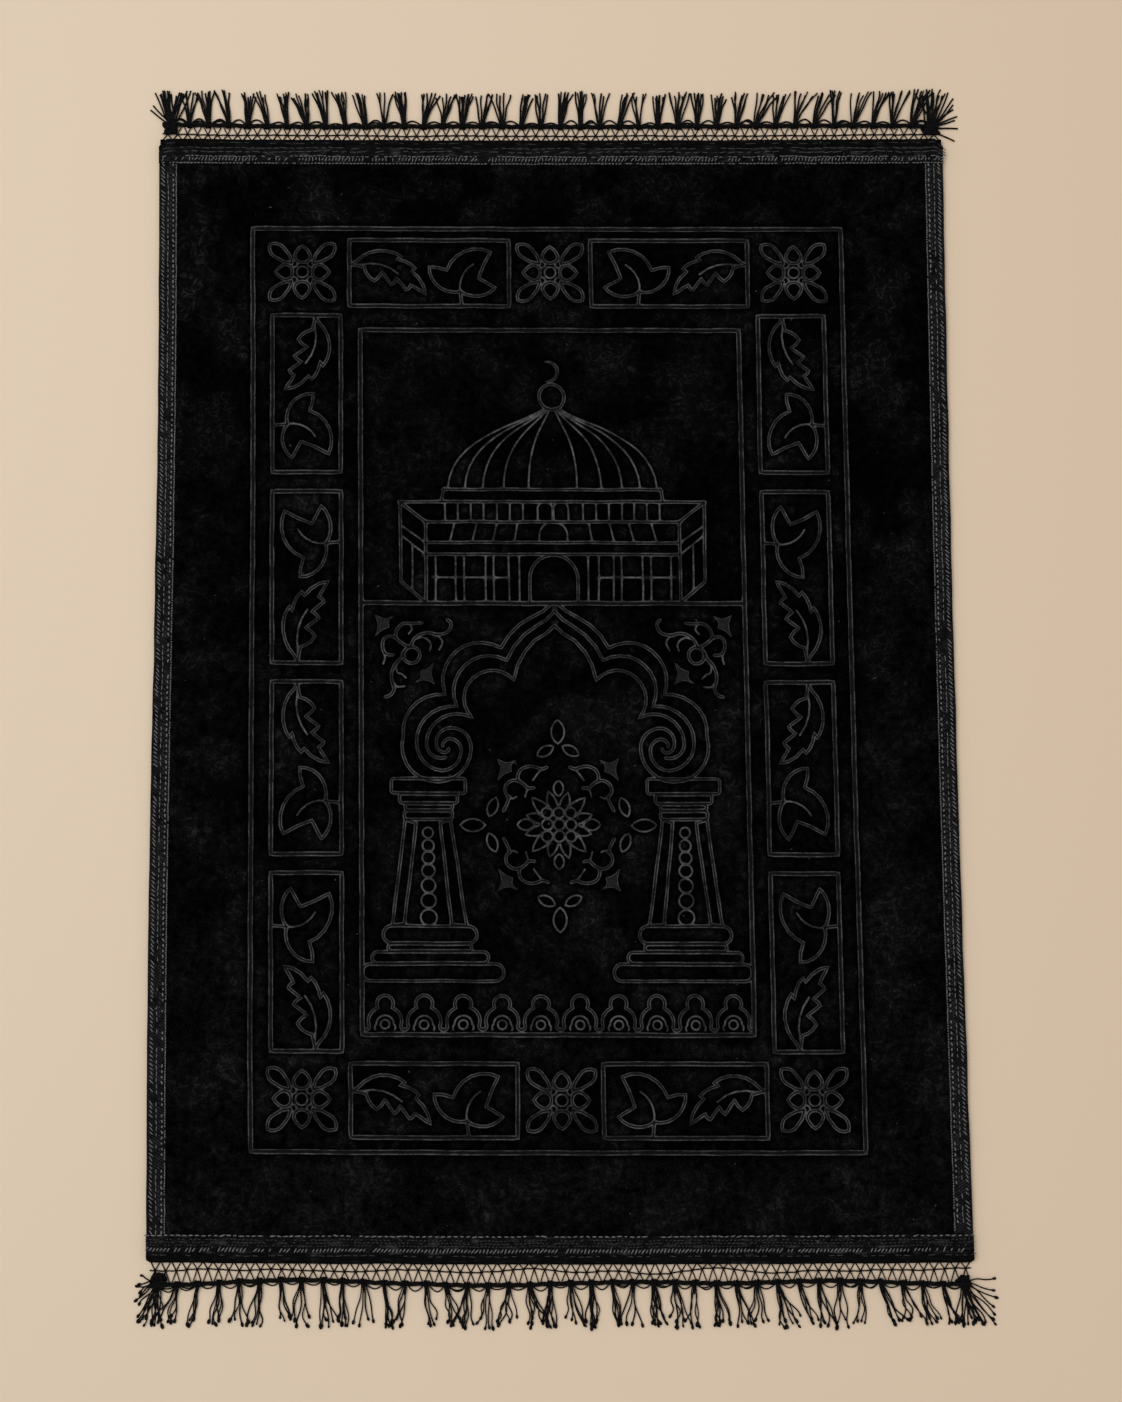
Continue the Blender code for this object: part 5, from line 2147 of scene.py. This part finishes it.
@dataclass(frozen=True)
class VelvetFinish:
    """Black pile; the pressed lines have greyer floors, and their rims carry a painted highlight where they
    would catch the light.

    The attribute press says how far, in mm, a place lies inside the nearest pressed line.
    """

    name: str = "velvet_pile"
    dark: Colour = (0.0003, 0.0003, 0.0004)
    light: Colour = (0.0085, 0.0083, 0.0086)
    brushed: Colour = (0.0230, 0.0225, 0.0230)
    # painted highlight of the rims of the pressed lines
    rim: Colour = (0.128, 0.126, 0.128)
    # painted sheen of the flattened pile on the floors of pressed lines and on pressed patches
    floor: Colour = (0.0080, 0.0078, 0.0080)
    patch: Colour = (0.0185, 0.0181, 0.0185)
    lint: Colour = (0.060, 0.058, 0.056)

    def nap(self, s: Shader, place: Socket, fuzz: Socket) -> Socket:
        """Colour of the free pile: cloudy, with brushed patches and curled fibres.

        Args:
            s: The material's shader.
            place: Where the shaded point lies.
            fuzz: Fine noise of the fibres.

        Returns:
            The colour.
        """
        cloud = s.effect(Mottle, Place=place, Scale=9.0, Low=0.38, High=0.66)
        patch = s.effect(Mottle, Place=place, Scale=17.0, Low=0.45, High=0.66)
        fleece = s.effect(Mottle, Place=place, Scale=120.0, Low=0.32, High=0.72)
        rows = s.node("ShaderNodeSeparateXYZ", {0: place}).outputs[1]
        foot = s.mapped(rows, 0.25, -0.55, 0.20, 0.85)
        shown = s.times(s.lifted(cloud, 0.6, foot), s.times(fuzz, fleece))
        curl = s.effect(Curl, Place=place, Scale=70.0, Width=0.045)
        brushed = s.times(s.lifted(s.times(curl, fleece), 0.9, 0.10), patch)
        return s.blend(brushed, s.blend(shown, opaque(self.dark), opaque(self.light)), opaque(self.brushed))

    def material(self) -> bpy.types.Material:
        """Make the material.

        Returns:
            The material.
        """
        s = Shader(self.name, 1.0, 0.0)
        place = s.place()
        fuzz = s.effect(Mottle, Place=place, Scale=430.0, Low=0.30, High=0.72)
        pile = self.nap(s, place, fuzz)
        press = s.attribute("press")
        # Painted shade: the free pile is darkened towards each pressed line, from 3.4 mm outside its edge.
        pile = s.blend(s.mapped(press, -3.4, -0.9, 0.0, 0.85), pile, opaque(self.dark))
        # Painted sheen: the floors of the pressed lines and the pressed patches are painted grey for the
        # light the flattened pile gives back.
        floor = s.blend(s.mapped(press, 1.7, 2.6, 0.0, 1.0), opaque(self.floor), opaque(self.patch))
        floor = s.blend(fuzz, s.blend(0.5, floor, opaque(self.dark)), floor)
        shade = s.blend(s.mapped(press, -0.35, 0.35, 0.0, 1.0, smooth=True), pile, floor)
        # Painted highlight: a bright band along each pressed line's rim, its strength varied in patches along
        # the line.
        rising = s.mapped(press, -0.75, 0.0, 0.0, 1.0, smooth=True)
        band = s.times(rising, s.mapped(press, 0.10, 0.85, 1.0, 0.0, smooth=True))
        wear_and_glint = s.effect(Mottle, Place=place, Scale=70.0, Low=0.40, High=0.64)
        glint = s.times(s.lifted(wear_and_glint, 0.78, 0.22), s.lifted(fuzz, 0.6, 0.4))
        shade = s.blend(s.times(band, glint), shade, opaque(self.rim))
        speck = s.effect(Lint, Place=place, Scale=270.0, Amount=0.004)
        s.colour(s.blend(speck, shade, opaque(self.lint)))
        s.bump(fuzz, 0.0008, 0.5)
        return s.material


@dataclass(frozen=True)
class TapeFinish:
    """Woven binding tape, read from its UV map along and across in metres; its ridges and streaks carry
    painted highlight and the gaps between them painted shade.
    """

    name: str
    dark: Colour
    light: Colour
    pitch: float
    slope: float
    relief: float
    plain_edge: float
    streaks: float
    lint: Colour = (0.12, 0.115, 0.11)

    def material(self) -> bpy.types.Material:
        """Make the material.

        Returns:
            The material.
        """
        s = Shader(self.name, 0.8, 0.03)
        tape = s.first("ShaderNodeUVMap", uv_map="tape")
        run = s.node("ShaderNodeSeparateXYZ", {0: tape}).outputs
        ridge = s.effect(Twill, Along=run[0], Across=run[1], Pitch=self.pitch, Slope=self.slope, Wobble=0.6)
        woven = s.mapped(run[1], self.plain_edge, self.plain_edge + 0.001, 0.35, 1.0, smooth=True)
        place = s.place()
        wear_and_glint = s.effect(Mottle, Place=place, Scale=110.0, Low=0.36, High=0.66)
        drawn = s.vector(X=s.times(run[0], 0.16), Y=run[1])
        streak = s.effect(Mottle, Place=drawn, Scale=330.0, Low=0.50, High=0.70)
        ridge = s.math("MAXIMUM", s.times(ridge, 1.0 - self.streaks), s.times(streak, self.streaks))
        shown = s.times(s.times(ridge, woven), s.lifted(wear_and_glint, 0.85, 0.15))
        lint = s.effect(Lint, Place=place, Scale=300.0, Amount=0.012)
        # Painted highlight and shade: the weave's ridges and long streaks are painted lighter, the gaps and
        # creases between them darker, under mottled wear.
        base = s.blend(shown, opaque(self.dark), opaque(self.light))
        s.colour(s.blend(lint, base, opaque(self.lint)))
        s.bump(s.lifted(wear_and_glint, 0.5, s.times(ridge, woven)), self.relief)
        return s.material


@dataclass(frozen=True)
class YarnFinish:
    """Twisted yarn or sewing thread; on twisted yarn the grooves between the plies carry painted shade."""

    name: str
    dark: Colour
    light: Colour
    lay: float = 1500.0
    relief: float = 0.0003
    twisted: bool = True

    def material(self) -> bpy.types.Material:
        """Make the material.

        Returns:
            The material.
        """
        s = Shader(self.name, 0.7, 0.05)
        place = s.place()
        fuzz = s.effect(Mottle, Place=place, Scale=900.0, Low=0.3, High=0.7)
        if self.twisted:
            cosine, sine = s.attribute("yarn_cos"), s.attribute("yarn_sin")
            ply = s.effect(Twist, Along=s.attribute("yarn_along"), Cosine=cosine, Sine=sine, Lay=self.lay)
            # Painted shade: the grooves between the plies are painted darker than their crowns.
            shown = s.times(ply, s.lifted(fuzz, 0.8, 0.3))
            s.bump(s.lifted(fuzz, 0.4, ply), self.relief)
        else:
            shown = fuzz
        s.colour(s.blend(shown, opaque(self.dark), opaque(self.light)))
        return s.material


# ---- sewn rows


@dataclass(frozen=True)
class SewnRow:
    """A row of stitches along a tape: where it runs and its stitch, in mm and radians."""

    label: str
    inset: float
    pitch: float
    length: float
    width: float
    slant: float
    stray: float
    missing: float
    wander: float
    bright: bool
    patchy: float = 0.3
    vary: float = 0.35
    height: float = 0.8


SIDE_ROWS = (
    SewnRow("rib", 4.6, 4.1, 5.2, 1.15, 0.72, 0.22, 0.10, 0.4, True),
    SewnRow("dash", 9.6, 5.8, 4.6, 0.95, 0.04, 0.12, 0.15, 0.6, True, patchy=0.6),
    SewnRow("tick", 12.4, 4.4, 2.9, 0.7, 0.6, 0.4, 0.35, 0.6, False),
    SewnRow("tack", 15.0, 5.3, 3.1, 1.75, 0.1, 0.4, 0.08, 0.3, True, patchy=0.5),
    SewnRow("lock", 17.9, 2.6, 2.5, 1.2, 0.05, 0.15, 0.03, 0.2, True, patchy=0.1),
)
END_ROWS = {
    End.HEAD: (
        SewnRow("lock", 25.6, 3.6, 2.9, 1.15, 0.03, 0.12, 0.06, 0.3, True, patchy=0.1),
        SewnRow("bar", 21.4, 3.4, 4.4, 1.1, 1.15, 0.45, 0.12, 0.8, True, patchy=0.6),
        SewnRow("cord", 18.4, 4.8, 4.3, 0.95, 0.0, 0.22, 0.10, 1.2, True, patchy=0.8),
        SewnRow("streak", 13.4, 9.0, 8.5, 1.1, 0.05, 0.14, 0.15, 1.8, False),
        SewnRow("fold", 9.6, 8.0, 7.5, 1.0, -0.04, 0.12, 0.15, 1.4, False),
        SewnRow("roll", 4.5, 13.0, 11.0, 0.8, 0.0, 0.06, 0.35, 0.9, False),
    ),
    End.FOOT: (
        SewnRow("lock", 26.0, 6.1, 4.9, 1.45, 0.05, 0.28, 0.05, 0.5, True, patchy=0.15),
        SewnRow("weft_a", 22.4, 3.9, 2.9, 0.8, 0.15, 0.5, 0.15, 0.9, False),
        SewnRow("weft_b", 19.6, 4.2, 3.4, 0.8, -0.1, 0.5, 0.15, 0.9, False),
        SewnRow("weft_c", 16.9, 3.6, 2.6, 0.8, 0.2, 0.5, 0.15, 0.9, False),
        SewnRow("bar", 12.6, 3.5, 4.6, 1.35, 1.0, 0.28, 0.05, 0.8, True, patchy=0.4),
        SewnRow("roll", 7.6, 8.0, 6.0, 0.8, 0.0, 0.10, 0.35, 0.8, False),
    ),
}


# ---- studio


@dataclass(frozen=True)
class Studio:
    """Pale floor, soft light from the upper left and the photograph's camera."""

    # The floor is painted darker and warmer towards the right: painted shade of the soft light falling off
    # across it.
    floor_lit_left: Colour = (0.706, 0.573, 0.435)
    floor_shaded_right: Colour = (0.706, 0.552, 0.404)
    light_place: Place = (-1.5, 0.6, 3.0)
    light_size: float = 2.0
    light_power: float = 47.5
    sky: float = 0.65
    floor_reach: float = 6.0
    floor_blend: float = 0.6
    stand: PlanPoint = (5.6, -202.9)
    stand_height: float = 1.9285
    tilt: float = 0.09667
    lens: float = 50.0
    sensor: float = 36.0

    def floor(self) -> None:
        mesh = bpy.data.meshes.new("studio_floor")
        reach = self.floor_reach
        corners = [(x * reach, y * reach, 0) for x, y in ((-1, -1), (1, -1), (1, 1), (-1, 1))]
        mesh.from_pydata(corners, [], [(0, 1, 2, 3)])
        s = Shader("floor_paper", 0.9, 0.2)
        # Painted shade: the floor colour blends from the left one to the darker, warmer right one across x.
        across = s.first("ShaderNodeSeparateXYZ", {0: s.place()})
        across = s.mapped(across, -self.floor_blend, self.floor_blend, 0.0, 1.0)
        s.colour(s.blend(across, opaque(self.floor_lit_left), opaque(self.floor_shaded_right)))
        mesh.materials.append(s.material)
        floor = linked("studio_floor", mesh)

    def lights(self) -> None:
        """Set the large soft light and the even room light."""
        data = bpy.data.lights.new("window", "AREA")
        data.shape = "SQUARE"
        data.size = self.light_size
        data.energy = self.light_power
        window = linked("window", data)
        window.location = self.light_place
        window.rotation_euler = (-Vector(self.light_place)).to_track_quat("-Z", "Y").to_euler()
        world = bpy.data.worlds.new("room")
        world.use_nodes = True
        background = world.node_tree.nodes["Background"]
        background.inputs["Color"].default_value = opaque((self.sky, self.sky, self.sky))
        bpy.context.scene.world = world
        bpy.context.scene.view_settings.view_transform = "Standard"

    def camera(self, lay: RugLay) -> None:
        """Stand the camera where the photograph was taken from.

        Args:
            lay: How the rug lies.
        """
        data = bpy.data.cameras.new("camera")
        data.lens = self.lens
        data.sensor_width = self.sensor
        camera = linked("camera", data)
        x, y = ((stand + shift) * MM for stand, shift in zip(self.stand, lay.shift))
        camera.location = (x, y, self.stand_height)
        camera.rotation_euler = (self.tilt, 0.0, 0.0)
        bpy.context.scene.camera = camera


# ---- the whole rug


def build_tapes(lay: RugLay) -> dict[str, BindingTape]:
    """The four tapes by name, as objects that can place their own seams.

    Args:
        lay: How the rug lies.

    Returns:
        The tapes by name.
    """
    tapes: dict[str, BindingTape] = {}
    for side in Side:
        label = side.name.lower()
        fold = Fold(
            f"side_tape_{label}", f"side_binding_{label}", Slot.SIDE_TAPE, width=SIDE_WIDTH, upper=SIDE_UPPER,
            lower=SIDE_LOWER, step=1.6, pucker=0.28, edge_sway=0.8,
        )
        tapes[fold.name] = SideTape(fold, lay, lay.half_length - SIDE_STOP, SIDE_SEED + side.value, side=side)
    for end in End:
        label = end.name.lower()
        fold = Fold(
            f"end_tape_{label}", f"end_binding_{label}", Slot.END_TAPE, width=END_WIDTH, upper=END_UPPER,
            lower=END_LOWER, step=1.5, pucker=0.4, edge_sway=0.6, chamfer=END_CHAMFER[end],
        )
        tapes[fold.name] = EndTape(fold, lay, lay.half_width, END_SEED + end.value, end=end)
    return tapes


def main() -> None:
    """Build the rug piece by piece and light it."""
    lay = RugLay.from_frame()
    motifs = (BorderPattern(), DomedBuilding(), NicheArch(), FieldMotifs())
    strokes = [stroke for motif in motifs for stroke in motif.strokes()]
    LOG.info("pattern: %d strokes", len(strokes))
    pile = VelvetFinish().material()
    ground = YarnFinish("ground_cloth", (0.008, 0.008, 0.008), (0.014, 0.014, 0.014), twisted=False)
    mat = VelvetMat().build(strokes, lay, pile, ground.material())

    side_cloth = TapeFinish(
        "side_tape_cloth", dark=(0.0012, 0.0012, 0.0013), light=(0.040, 0.0395, 0.040), pitch=0.0029,
        slope=0.65, relief=0.0005, plain_edge=0.0, streaks=0.35,
    ).material()
    end_cloth = TapeFinish(
        "end_tape_cloth", dark=(0.0012, 0.0012, 0.0014), light=(0.050, 0.049, 0.050), pitch=0.0029,
        slope=0.3, relief=0.0005, plain_edge=0.011, streaks=0.8,
    ).material()
    bright = YarnFinish("sewing_thread", (0.065, 0.065, 0.067), (0.20, 0.197, 0.20), twisted=False).material()
    dim = YarnFinish("tape_thread", (0.014, 0.014, 0.0145), (0.075, 0.074, 0.075), twisted=False).material()
    yarn = YarnFinish("fringe_yarn_black", (0.0010, 0.0010, 0.0011), (0.0090, 0.0086, 0.0084)).material()
    cord = YarnFinish("header_cord_black", (0.0010, 0.0010, 0.0011), (0.0080, 0.0078, 0.0078), lay=700.0,
                      relief=0.0006).material()

    stitcher, spinner = StitchTree(), YarnTree()
    for index, (name, tape) in enumerate(build_tapes(lay).items()):
        cloth = side_cloth if isinstance(tape, SideTape) else end_cloth
        tape.build(cloth)
        rows = SIDE_ROWS if isinstance(tape, SideTape) else END_ROWS[tape.end]
        for row in rows:
            guides = guide_mesh(name, [tape.row(row.inset, SEAM_HEIGHT, row.wander)], lay)
            piece = stitcher.apply(
                f"{name}_{row.label}", guides, bright if row.bright else dim, Pitch=row.pitch * MM,
                Length=row.length * MM, Width=row.width * MM, Height=row.height * MM, Slant=row.slant,
                Stray=row.stray, Missing=row.missing, Patchy=row.patchy, Vary=row.vary, Seed=100 * index,
            )
            settle(piece, tape.fold.slot)

    for cut in (HEAD_FRINGE, FOOT_FRINGE):
        fringe = Fringe(cut, lay)
        label = fringe.label
        knots = [thread for side in Side for thread in fringe.corner_knot(side)]
        for name, threads, finish, nodes in (
            ("net", fringe.net(), yarn, (f"fringe_{label}",)), ("header_cord", fringe.header(), cord, ()),
            ("tassels", fringe.hanging(), yarn, ()), ("corner_knots", knots, cord, ()),
        ):
            full = f"{name}_{label}"
            piece = spinner.apply(full, guide_mesh(full, threads, lay), finish, Seed=cut.seed)
            settle(piece, Slot.YARN, *nodes)

    studio = Studio()
    studio.floor()
    studio.lights()
    studio.camera(lay)


if __name__ == "__main__":
    logging.basicConfig(level=logging.INFO, format="%(message)s")
    main()
